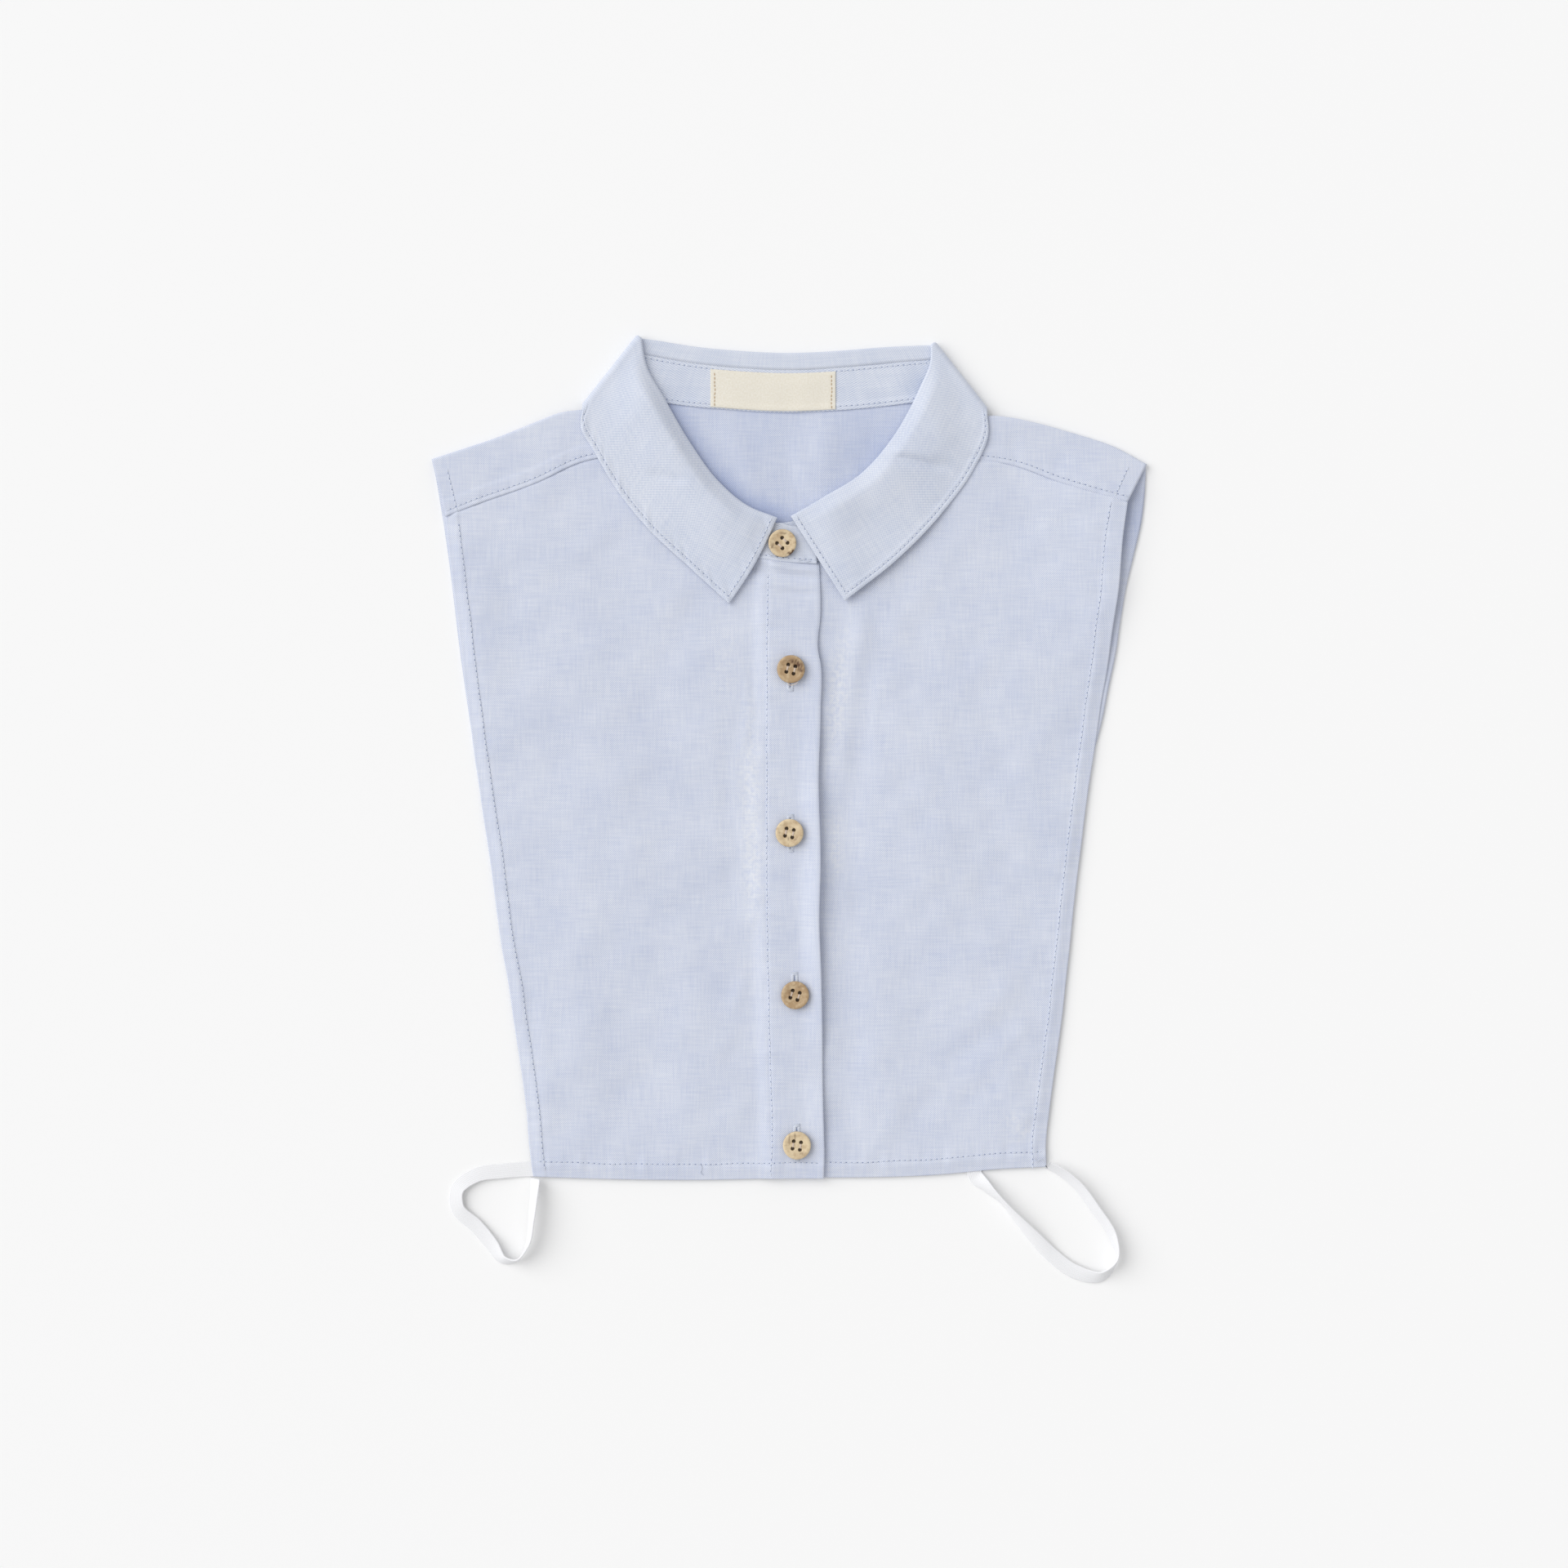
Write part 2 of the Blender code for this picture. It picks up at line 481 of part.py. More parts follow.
def make_fall(material):
    """Turned-down collar: up from the seam, round the roll and down to the edge, folded at both sides."""
    base, edge, turn, seam, at_left, at_right = collar_rows()
    across = unit(edge - base)
    width = np.linalg.norm(edge - base, axis=1)
    normal = np.zeros_like(base)
    normal[at_left] = outward(base[at_left], edge[at_left], 1.0)
    normal[at_right] = outward(base[at_right], edge[at_right], -1.0)
    width = width - FALL_TUCK * np.sin(turn)
    front = turn == 0.0
    left_half = np.arange(len(base)) < len(base) // 2
    skins = []
    for offset in (-HALF, HALF):
        w = [seam, seam * 0.5, np.zeros(len(base))]
        rho = [INNER - offset] * 3
        for roll in ROLL_TURNS:
            w.append(np.full(len(base), -(FOLD + offset) * math.sin(roll)))
            rho.append(INNER + FOLD - (FOLD + offset) * math.cos(roll))
        for part in LEAF_STEPS:
            w.append(width * part)
            rho.append(OUTER + offset)
        w = np.stack(w, axis=1)
        rho = np.broadcast_to(np.array(rho), w.shape)
        plan = (base[:, None] + across[:, None] * w[..., None]
                + normal[:, None] * (rho * np.sin(turn)[:, None])[..., None])
        x, y = plan[..., 0], plan[..., 1]
        lift = np.where(front[:, None], rise(x, y), LAYER)
        inner_lift = np.where((front & left_half)[:, None], overlap(x, y), 0.0)
        outer_lift = np.where(front[:, None], leaf_lift(x, y), 0.0)
        share = np.clip((rho - INNER - HALF) / GAP, 0.0, 1.0)
        z = lift + FOLD + HALF + rho * np.cos(turn)[:, None]
        z = z + inner_lift + (outer_lift - inner_lift) * share
        skins.append(with_height(plan, z))
    return grid_wall("collar_fall", skins[0][::-1], skins[1][::-1], material)


def make_stand(material):
    """Collar band from its left tab round the back to its right tab, which lies under the left one."""
    base, edge, turn, seam, at_left, at_right = collar_rows()
    across = unit(edge - base)
    top = base + across * (seam + GAP)[:, None]
    turns = len(CORNER_TURNS)
    neck_left, neck_right = neck_rows(NECK_LEFT), neck_rows(NECK_RIGHT)
    neck_back = spline(NECK_BACK, spread(BACK_ROWS))
    bottom = np.concatenate([neck_left, np.repeat(neck_left[-1:], turns, axis=0), neck_back,
                             np.repeat(neck_right[-1:], turns, axis=0), neck_right[::-1]])
    short = np.full(len(base), GAP)
    corner = np.abs(np.arange(len(base)) - (FRONT_ROWS + (turns - 1) / 2))
    corner = np.minimum(corner, corner[::-1])
    short = short + STAND_TUCK * (1.0 - smooth((corner - (turns + 1) / 2) / STAND_FADE))
    bottom = bottom - unit(bottom - top) * short[:, None]
    normal = np.zeros_like(base)
    normal[at_left] = outward(top[at_left], bottom[at_left], 1.0)
    normal[at_right] = outward(top[at_right], bottom[at_right], -1.0)
    left_tab = np.stack([TAB_LEFT_X, read_y(TAB_LEFT, TAB_LEFT_X)], axis=1)
    left_foot = np.stack([TAB_LEFT_X, read_y(NECK_LEFT[:-1], TAB_LEFT_X) + GAP], axis=1)
    right_tab = np.stack([TAB_RIGHT_X, read_y(TAB_RIGHT, TAB_RIGHT_X)], axis=1)
    right_foot = np.stack([TAB_RIGHT_X, read_y(NECK_RIGHT[:-1], TAB_RIGHT_X) + GAP], axis=1)
    top = np.concatenate([left_tab, top, right_tab])
    bottom = np.concatenate([left_foot, bottom, right_foot])
    turn = np.concatenate([np.zeros(len(left_tab)), turn, np.zeros(len(right_tab))])
    normal = np.concatenate([np.zeros_like(left_tab), normal, np.zeros_like(right_tab)])
    front = turn == 0.0
    left_half = np.arange(len(top)) < len(top) // 2
    share = spread(5)[None, :, None]
    skins = []
    for offset in (-HALF, HALF):
        rho = INNER - offset
        plan = (top[:, None] * (1 - share) + bottom[:, None] * share
                + normal[:, None] * rho * np.sin(turn)[:, None, None])
        x, y = plan[..., 0], plan[..., 1]
        lift = np.where(front[:, None], rise(x, y), LAYER)
        lift = lift + np.where((front & left_half)[:, None], overlap(x, y), 0.0)
        z = lift + FOLD + HALF + rho * np.cos(turn)[:, None]
        skins.append(with_height(plan, z))
    return grid_wall("collar_stand", skins[0], skins[1], material)


def make_label(material):
    """Woven label on the inside of the back of the stand, a gap above it."""
    x = np.linspace(LABEL_LEFT, LABEL_RIGHT, LABEL_COLUMNS)
    low = read_y(NECK_BACK, x) + LABEL_RAISE
    plan = np.stack([np.stack([x, low + LABEL_HEIGHT * part], axis=1) for part in spread(LABEL_ROWS)])
    floor = np.full(plan.shape[:2], LAYER + LAYER)
    return grid_wall("label", with_height(plan, floor), with_height(plan, floor + CLOTH), material)


# Trims

def make_button(name, x, y, turn, base, material):
    """Turned disc with a raised rim and four holes."""
    angles = np.arange(BUTTON_SIDES) * 2 * np.pi / BUTTON_SIDES
    rings = [np.stack([r * np.cos(angles), r * np.sin(angles), np.full(BUTTON_SIDES, z)], axis=1)
             for r, z in BUTTON_PROFILE]
    points = np.concatenate(rings)
    faces = []
    for ring in range(len(rings) - 1):
        for side in range(BUTTON_SIDES):
            after = (side + 1) % BUTTON_SIDES
            low, high = ring * BUTTON_SIDES, (ring + 1) * BUTTON_SIDES
            faces.append([low + side, low + after, high + after, high + side])
    faces.append(list(range(BUTTON_SIDES))[::-1])
    faces.append(list(range(len(points) - BUTTON_SIDES, len(points))))
    piece = make_object(name, points, faces, material)
    piece.location = (x * MM, y * MM, base * MM)
    piece.rotation_euler = (0.0, 0.0, math.radians(turn))
    hole_angles = np.arange(HOLE_SIDES) * 2 * np.pi / HOLE_SIDES
    for number, (sx, sy) in enumerate(((1, 1), (-1, 1), (-1, -1), (1, -1))):
        ends = [np.stack([sx * HOLE_OFFSET + HOLE_RADIUS * np.cos(hole_angles),
                          sy * HOLE_OFFSET + HOLE_RADIUS * np.sin(hole_angles),
                          np.full(HOLE_SIDES, z)], axis=1) for z in HOLE_ENDS]
        sides = [[s, (s + 1) % HOLE_SIDES, HOLE_SIDES + (s + 1) % HOLE_SIDES, HOLE_SIDES + s]
                 for s in range(HOLE_SIDES)]
        caps = [list(range(HOLE_SIDES))[::-1], list(range(HOLE_SIDES, 2 * HOLE_SIDES))]
        drill = make_object(f"{name}_drill_{number + 1}", np.concatenate(ends), sides + caps, material)
        drill.parent = piece
        drill.hide_render = True
        drill.display_type = "WIRE"
        cut = piece.modifiers.new(f"hole_{number + 1}", "BOOLEAN")
        cut.operation = "DIFFERENCE"
        cut.object = drill
    return piece


def make_tape(name, route, material):
    """Flat elastic carried along its route, tilted about it, on the surface or raised to its least height."""
    rings = spline(route, spread(TAPE_RINGS))
    plan, tilt, least = rings[:, :2], np.radians(rings[:, 2]), rings[:, 3]
    tilt[:2], tilt[-1] = 0.0, math.radians(route[-1][2])
    ahead = unit(np.gradient(plan, axis=0))
    side = np.stack([-ahead[:, 1], ahead[:, 0], np.zeros(TAPE_RINGS)], axis=1)
    up = np.array([0.0, 0.0, 1.0])
    wide = side * np.cos(tilt)[:, None] + up * np.sin(tilt)[:, None]
    thick = -side * np.sin(tilt)[:, None] + up * np.cos(tilt)[:, None]
    half = TAPE_WIDTH / 2
    middle = np.maximum(half * np.abs(np.sin(tilt)) + HALF * np.abs(np.cos(tilt)), least)
    centre = with_height(plan, middle)
    corners = np.stack([centre + wide * a * half + thick * b * HALF
                        for a, b in ((-1, -1), (1, -1), (1, 1), (-1, 1))], axis=1)
    points = corners.reshape(-1, 3)
    faces = [[3, 2, 1, 0], [len(points) - 4 + i for i in range(4)]]
    for ring in range(TAPE_RINGS - 1):
        for edge in range(4):
            a, b = ring * 4 + edge, ring * 4 + (edge + 1) % 4
            faces.append([a, b, b + 4, a + 4])
    return make_object(name, points, faces, material)


def main():
    for piece in list(bpy.data.objects):
        bpy.data.objects.remove(piece, do_unlink=True)
    oxford = make_material("oxford cotton", "cdd3e2", 0.85)
    woven = make_material("woven label", "e9e4d5", 0.8)
    shell = make_material("coconut shell", "b79d7f", 0.45)
    elastic = make_material("knitted elastic", "efeff2", 0.8)
    make_back(oxford)
    make_front_left(oxford)
    make_front_right(oxford)
    make_stand(oxford)
    make_fall(oxford)
    make_label(woven)
    for number, (x, y, turn) in enumerate(BUTTONS):
        on_tab = number == 0
        top = LAYER + LAYER + CLOTH + float(swell(x, y)) + (0.0 if on_tab else PLY)
        make_button(f"button_{number + 1}", x, y, turn, top + GAP, shell)
    make_tape("elastic_left", ELASTIC_LEFT, elastic)
    make_tape("elastic_right", ELASTIC_RIGHT, elastic)


main()
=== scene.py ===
# A child's detachable shirt collar laid flat: cloth panels with their hems and creases, stitching,
# buttonholes, shell buttons, a bare label and elastic loops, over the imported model.
# Lengths are in millimetres until a mesh is made. X is the viewer's right and Y goes towards the collar.
import math

import bpy
import numpy as np
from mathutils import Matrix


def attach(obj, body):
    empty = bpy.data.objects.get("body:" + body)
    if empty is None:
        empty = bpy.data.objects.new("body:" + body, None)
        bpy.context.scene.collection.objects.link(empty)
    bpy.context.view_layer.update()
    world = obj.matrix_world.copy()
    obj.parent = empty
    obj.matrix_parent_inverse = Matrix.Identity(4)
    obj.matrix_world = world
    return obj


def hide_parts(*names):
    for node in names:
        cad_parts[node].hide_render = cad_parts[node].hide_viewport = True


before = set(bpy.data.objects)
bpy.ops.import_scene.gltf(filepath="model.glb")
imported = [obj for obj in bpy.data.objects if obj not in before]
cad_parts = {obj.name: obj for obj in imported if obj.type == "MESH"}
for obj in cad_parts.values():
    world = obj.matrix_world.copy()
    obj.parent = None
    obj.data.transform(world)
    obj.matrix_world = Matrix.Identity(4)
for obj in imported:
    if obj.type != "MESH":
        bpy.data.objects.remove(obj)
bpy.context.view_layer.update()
mm = 0.001
print("frame loaded:", len(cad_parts), "nodes")


# Curves and soft relief

def smooth(t):                                   # 3t² - 2t³, held at 0 and 1
    t = np.clip(t, 0.0, 1.0)
    return t * t * (3.0 - 2.0 * t)


def hump(d, reach):                              # exp(-(d / reach)²)
    return np.exp(-(np.asarray(d) / reach) ** 2)


def unit(v):
    return v / np.maximum(np.linalg.norm(v, axis=-1, keepdims=True), 1e-9)


def curve(points, shares):
    # cubic through the points, each with the mean slope of its neighbours, read at shares of its chord length
    points = np.asarray(points, float)
    steps = np.linalg.norm(np.diff(points[:, :2], axis=0), axis=1)
    along = np.concatenate([[0.0], np.cumsum(steps)])
    slopes = np.gradient(points, along, axis=0)
    wanted = np.clip(np.asarray(shares, float), 0.0, 1.0) * along[-1]
    part = np.clip(np.searchsorted(along, wanted, side="right") - 1, 0, len(along) - 2)
    span = (along[part + 1] - along[part])[:, None]
    t = (wanted - along[part])[:, None] / span
    return ((2 * t**3 - 3 * t**2 + 1) * points[part] + (t**3 - 2 * t**2 + t) * span * slopes[part]
            + (3 * t**2 - 2 * t**3) * points[part + 1] + (t**3 - t**2) * span * slopes[part + 1])


def reader(points, given=0):
    # the other coordinate of a curve that runs one way, as a function of x (given 0) or of y (given 1)
    line = curve(points, np.linspace(0, 1, 600))
    line = line[np.argsort(line[:, given])]
    return lambda value: np.interp(value, line[:, given], line[:, 1 - given])


def uneven(s, pitch, seed):
    # five sines of unequal pitch round the given one, added up: a ripple that never repeats, about -1 to 1
    phases = np.random.default_rng(seed).uniform(0, 2 * math.pi, 5)
    total = 0.0
    for share, phase in zip((0.45, 0.71, 1.0, 1.37, 2.1), phases):
        total = total + np.sin(s * 2 * math.pi * share / pitch + phase)
    return total / 2.3


def mottled(x, y, reach, seed):
    # nine plane waves in scattered directions, added up: soft hills about the reach apart, about -1 to 1
    draw = np.random.default_rng(seed)
    total = 0.0
    for turn, stretch, phase in draw.uniform((0, 0.7, 0), (math.pi, 1.5, 2 * math.pi), (9, 3)):
        total = total + np.sin((x * math.cos(turn) + y * math.sin(turn)) * 2 * math.pi / (reach * stretch) + phase)
    return total / 3.4


def creased(x, y, table):
    # a ridge along a bowed line from a to b, or a trough where its height is below 0:
    # height * exp(-(distance / width)²), faded over both ends
    total = np.zeros(np.shape(x))
    for ax, ay, bx, by, bow, width, height in table:
        length = math.hypot(bx - ax, by - ay)
        along = ((x - ax) * (bx - ax) + (y - ay) * (by - ay)) / length**2
        across = ((y - ay) * (bx - ax) - (x - ax) * (by - ay)) / length - 4 * bow * along * (1 - along)
        total = total + height * hump(across, width) * smooth(along / 0.35) * smooth((1 - along) / 0.35)
    return total


def steps(*parts):
    # positions along a line, from (first, last, count) runs that meet end to end
    return np.unique(np.concatenate([np.linspace(*part) for part in parts]).round(4))


# Meshes and materials

def linear(code):                                # linear colour of an sRGB hex code
    parts = [int(code[i:i + 2], 16) / 255 for i in (0, 2, 4)]
    return [c / 12.92 if c <= 0.04045 else ((c + 0.055) / 1.055) ** 2.4 for c in parts] + [1.0]


def addMesh(name, points, quads, material, grain=None, marks=None):
    # points in mm, quads as rows of four corners, grain as a flat position in mm for each point
    a, b, c, d = (points[quads[:, i]] for i in range(4))
    volume = np.einsum("ij,ij->i", a, np.cross(b, c) + np.cross(c, d)).sum()
    if volume < 0:
        quads = quads[:, ::-1]
    mesh = bpy.data.meshes.new(name)
    mesh.vertices.add(len(points))
    mesh.vertices.foreach_set("co", (points * mm).astype(np.float32).ravel())
    mesh.loops.add(quads.size)
    mesh.loops.foreach_set("vertex_index", quads.astype(np.int32).ravel())
    mesh.polygons.add(len(quads))
    mesh.polygons.foreach_set("loop_start", np.arange(len(quads), dtype=np.int32) * 4)
    mesh.update(calc_edges=True)
    mesh.polygons.foreach_set("use_smooth", np.ones(len(quads), bool))
    if grain is not None:
        layer = mesh.uv_layers.new(name="grain")
        layer.uv.foreach_set("vector", (grain[quads.ravel()] * mm).astype(np.float32).ravel())
    for markName, values in (marks or {}).items():
        mark = mesh.attributes.new(markName, "FLOAT", "POINT")
        mark.data.foreach_set("value", np.asarray(values, np.float32))
    mesh.validate()
    mesh.materials.append(material)
    piece = bpy.data.objects.new(name, mesh)
    bpy.context.scene.collection.objects.link(piece)
    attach(piece, "root")
    return piece


def gridQuads(index):
    return np.stack([index[:-1, :-1], index[:-1, 1:], index[1:, 1:], index[1:, :-1]], axis=-1).reshape(-1, 4)


def addShell(name, upper, lower, quads, material, grain, marks=None):
    # a closed wall between two skins with the same corners: both skins and a rim along every open edge
    count = len(upper)
    edges = np.stack([quads, np.roll(quads, -1, axis=1)], axis=-1).reshape(-1, 2)
    keys = edges.min(axis=1).astype(np.int64) * count + edges.max(axis=1)
    _, first, uses = np.unique(keys, return_index=True, return_counts=True)
    rim = edges[first[uses == 1]]
    walls = np.stack([rim[:, 1], rim[:, 0], rim[:, 0] + count, rim[:, 1] + count], axis=1)
    both = {markName: np.concatenate([values, values]) for markName, values in (marks or {}).items()}
    return addMesh(name, np.concatenate([upper, lower]), np.concatenate([quads, quads[:, ::-1] + count, walls]),
                   material, np.concatenate([grain, grain]), both)


def addGridShell(name, upper, lower, material, grain, marks=None):
    rows, columns = upper.shape[:2]
    index = np.arange(rows * columns).reshape(rows, columns)
    return addShell(name, upper.reshape(-1, 3), lower.reshape(-1, 3), gridQuads(index), material,
                    grain.reshape(-1, 2), marks)


def addNode(tree, kind, settings=None, inputs=None, links=None):
    # one node with its settings, its input values and the sockets that feed it
    node = tree.nodes.new(kind)
    for key, value in (settings or {}).items():
        setattr(node, key, value)
    for key, value in (inputs or {}).items():
        node.inputs[key].default_value = value
    for key, socket in (links or {}).items():
        tree.links.new(socket, node.inputs[key])
    return node


def newMaterial(name, **inputs):
    material = bpy.data.materials.new(name)
    material.use_nodes = True
    shader = material.node_tree.nodes["Principled BSDF"]
    for key, value in inputs.items():
        shader.inputs[key.replace("_", " ")].default_value = value
    return material, material.node_tree, shader


def patch(bottom, top, left, right):
    # the two straight blends between opposite edges, less the blend of the corners
    u = ((bottom[:, 0] - bottom[0, 0]) / (bottom[-1, 0] - bottom[0, 0]))[None, :, None]
    v = ((left[:, 1] - left[0, 1]) / (left[-1, 1] - left[0, 1]))[:, None, None]
    corners = (1 - u) * (1 - v) * bottom[0] + u * (1 - v) * bottom[-1] + (1 - u) * v * top[0] + u * v * top[-1]
    return (1 - v) * bottom[None] + v * top[None] + (1 - u) * left[:, None] + u * right[:, None] - corners


def raised(plan, z):
    return np.concatenate([plan, np.broadcast_to(z, plan.shape[:-1])[..., None]], axis=-1)


# Camera and light, before the pieces: the photograph looks straight down on a pale table
view = {
    "middle": (-2.33, 10.5),     # point of the table at the picture's middle
    "width": 640.0,              # width of the picture on the table
    "lens": 85.0,
    "sensor": 36.0,
    "table": "f9f9f9",
    "sky": 0.64,
    "key": 1.68,                 # strength of the window light, which comes from the upper left
    "keyFrom": (-1.0, 0.42, 0.92),
    "keySpread": 56.0,           # degrees across, so that shadows are soft
}


def addView():
    scene = bpy.context.scene
    lens = bpy.data.cameras.new("camera")
    lens.lens = view["lens"]
    lens.sensor_width = view["sensor"]
    lens.clip_end = 20.0
    camera = bpy.data.objects.new("camera", lens)
    x, y = view["middle"]
    camera.location = (x * mm, y * mm, view["width"] * view["lens"] / view["sensor"] * mm)
    scene.collection.objects.link(camera)
    scene.camera = camera
    lamp = bpy.data.lights.new("window light", "SUN")
    lamp.energy = view["key"]
    lamp.angle = math.radians(view["keySpread"])
    light = bpy.data.objects.new("window light", lamp)
    x, y, z = view["keyFrom"]
    light.rotation_euler = (0.0, math.atan2(math.hypot(x, y), z), math.atan2(y, x))
    scene.collection.objects.link(light)
    world = bpy.data.worlds.new("white studio")
    world.use_nodes = True
    world.node_tree.nodes["Background"].inputs["Color"].default_value = (1.0, 1.0, 1.0, 1.0)
    world.node_tree.nodes["Background"].inputs["Strength"].default_value = view["sky"]
    scene.world = world
    scene.view_settings.view_transform = "Standard"
    material, tree, shader = newMaterial("painted table", Roughness=0.7)
    shader.inputs["Base Color"].default_value = linear(view["table"])
    mesh = bpy.data.meshes.new("table")
    side = 4.0
    low = -0.00012
    mesh.from_pydata([(-side, -side, low), (side, -side, low), (side, side, low), (-side, side, low)], [],
                     [(0, 1, 2, 3)])
    mesh.materials.append(material)
    table = bpy.data.objects.new("table", mesh)
    scene.collection.objects.link(table)


addView()
print("camera, light and table")


# Fine oxford cotton: pale blue warp over a white weft in a basket weave. The eye gets a soft, matt, slightly
# milky blue with faint slubs along both threads. The real threads are 0.25 mm apart; the weave is drawn at
# 0.8 mm, so that it still shows at the picture's 1/3 mm a pixel.
weave = {
    "pitch": 0.8,
    "slubWidth": 0.7,
    "slubLength": 11.0,
    "slubColour": 0.24,
    "mottleReach": 22.0,
    "mottleColour": 0.22,
    "bump": 0.4,
    "fleckScale": 0.5,
    # colour of the painted sheen on crinkled cloth
    "shine": "f4f3ee",
}


def oxfordCotton(name, warp, weft, contrast):
    # contrast is how much the two threads differ in colour
    material, tree, shader = newMaterial(name, Roughness=0.86)
    shader.inputs["Specular IOR Level"].default_value = 0.25
    shader.inputs["Sheen Weight"].default_value = 0.12
    shader.inputs["Sheen Roughness"].default_value = 0.5
    flat = addNode(tree, "ShaderNodeUVMap", {"uv_map": "grain"})
    inMm = addNode(tree, "ShaderNodeVectorMath", {"operation": "SCALE"}, {"Scale": 1000.0},
                   {0: flat.outputs[0]})
    turns = 2 * math.pi / weave["pitch"]
    both = addNode(tree, "ShaderNodeSeparateXYZ", None, None, {0: inMm.outputs[0]})
    warpWave = addNode(tree, "ShaderNodeMath", {"operation": "MULTIPLY"}, {1: turns}, {0: both.outputs[0]})
    weftWave = addNode(tree, "ShaderNodeMath", {"operation": "MULTIPLY"}, {1: turns}, {0: both.outputs[1]})
    warpSine = addNode(tree, "ShaderNodeMath", {"operation": "SINE"}, None, {0: warpWave.outputs[0]})
    weftSine = addNode(tree, "ShaderNodeMath", {"operation": "SINE"}, None, {0: weftWave.outputs[0]})
    basket = addNode(tree, "ShaderNodeMath", {"operation": "MULTIPLY"}, None,
                     {0: warpSine.outputs[0], 1: weftSine.outputs[0]})
    slubs = []
    for scale in ((1 / weave["slubWidth"], 1 / weave["slubLength"], 1),
                  (1 / weave["slubLength"], 1 / weave["slubWidth"], 1)):
        placed = addNode(tree, "ShaderNodeMapping", None, {"Scale": scale}, {0: inMm.outputs[0]})
        noise = addNode(tree, "ShaderNodeTexNoise", {"noise_dimensions": "2D"},
                        {"Scale": 1.0, "Detail": 1.5, "Roughness": 0.5}, {"Vector": placed.outputs[0]})
        slubs.append(noise.outputs["Fac"])
    slub = addNode(tree, "ShaderNodeMath", {"operation": "ADD"}, None, {0: slubs[0], 1: slubs[1]})
    mottle = addNode(tree, "ShaderNodeTexNoise", {"noise_dimensions": "2D"},
                     {"Scale": 1 / weave["mottleReach"], "Detail": 2.0, "Roughness": 0.55},
                     {"Vector": inMm.outputs[0]})
    # share of the white weft: half, moved by the basket, the slubs and the mottle, and less where shade is painted by
    # the shade mark
    shade = addNode(tree, "ShaderNodeAttribute", {"attribute_name": "shade"})
    share = addNode(tree, "ShaderNodeMath", {"operation": "MULTIPLY_ADD"},
                    {1: contrast, 2: 0.5 - weave["slubColour"] - weave["mottleColour"] / 2},
                    {0: basket.outputs[0]})
    share = addNode(tree, "ShaderNodeMath", {"operation": "MULTIPLY_ADD"}, {1: weave["slubColour"]},
                    {0: slub.outputs[0], 2: share.outputs[0]})
    share = addNode(tree, "ShaderNodeMath", {"operation": "MULTIPLY_ADD"}, {1: weave["mottleColour"]},
                    {0: mottle.outputs["Fac"], 2: share.outputs[0]})
    share = addNode(tree, "ShaderNodeMath", {"operation": "SUBTRACT"}, None,
                    {0: share.outputs[0], 1: shade.outputs["Fac"]})
    tint = addNode(tree, "ShaderNodeMix", {"data_type": "RGBA"},
                   {"A": linear(warp), "B": linear(weft)}, {"Factor": share.outputs[0]})
    # painted sheen: where the cloth is crinkled its threads are painted paler, in flecks: the mark times a fine noise
    crinkleSheen = addNode(tree, "ShaderNodeAttribute", {"attribute_name": "crinkleSheen"})
    flecks = addNode(tree, "ShaderNodeTexNoise", {"noise_dimensions": "2D"},
                     {"Scale": weave["fleckScale"], "Detail": 3.0, "Roughness": 0.6}, {"Vector": inMm.outputs[0]})
    fleck = addNode(tree, "ShaderNodeMapRange", None, {"From Min": 0.34, "From Max": 0.7}, {"Value": flecks.outputs["Fac"]})
    shine = addNode(tree, "ShaderNodeMath", {"operation": "MULTIPLY"}, None,
                    {0: fleck.outputs[0], 1: crinkleSheen.outputs["Fac"]})
    tint = addNode(tree, "ShaderNodeMix", {"data_type": "RGBA"}, {"B": linear(weave["shine"])},
                   {"Factor": shine.outputs[0], "A": tint.outputs["Result"]})
    tree.links.new(tint.outputs["Result"], shader.inputs["Base Color"])
    height = addNode(tree, "ShaderNodeMath", {"operation": "MULTIPLY_ADD"}, {1: 0.5},
                     {0: basket.outputs[0], 2: slub.outputs[0]})
    bump = addNode(tree, "ShaderNodeBump", None, {"Strength": weave["bump"], "Distance": 0.00006},
                   {"Height": height.outputs[0]})
    tree.links.new(bump.outputs[0], shader.inputs["Normal"])
    return material


bodyCloth = oxfordCotton("oxford cotton", "a9b5d5", "eef0f4", 0.4)
collarCloth = oxfordCotton("oxford cotton, interlined", "aebad4", "edeff4", 0.46)


def plainThread(name, code, roughness):
    material, tree, shader = newMaterial(name, Roughness=roughness)
    shader.inputs["Base Color"].default_value = linear(code)
    shader.inputs["Sheen Weight"].default_value = 0.2
    place = addNode(tree, "ShaderNodeTexCoord")
    noise = addNode(tree, "ShaderNodeTexNoise", None, {"Scale": 5000.0, "Detail": 1.0},
                    {"Vector": place.outputs["Object"]})
    bump = addNode(tree, "ShaderNodeBump", None, {"Strength": 0.4, "Distance": 0.00005},
                   {"Height": noise.outputs["Fac"]})
    tree.links.new(bump.outputs[0], shader.inputs["Normal"])
    return material


# Spun polyester sewing thread a little lighter than the cloth; a darker blue is the painted shade in its needle holes
# and in the buttonholes' slits
sewingThread = plainThread("spun sewing thread, pale blue", "d3d9e6", 0.6)
needleShade = plainThread("needle hole shade", "8490b0", 0.9)
darkThread = plainThread("spun sewing thread, navy", "3a3f57", 0.7)
tanThread = plainThread("spun sewing thread, tan", "c2ab8d", 0.7)
buttonThread = plainThread("button thread, cream", "d9c8ba", 0.7)
print("cloth and thread materials")


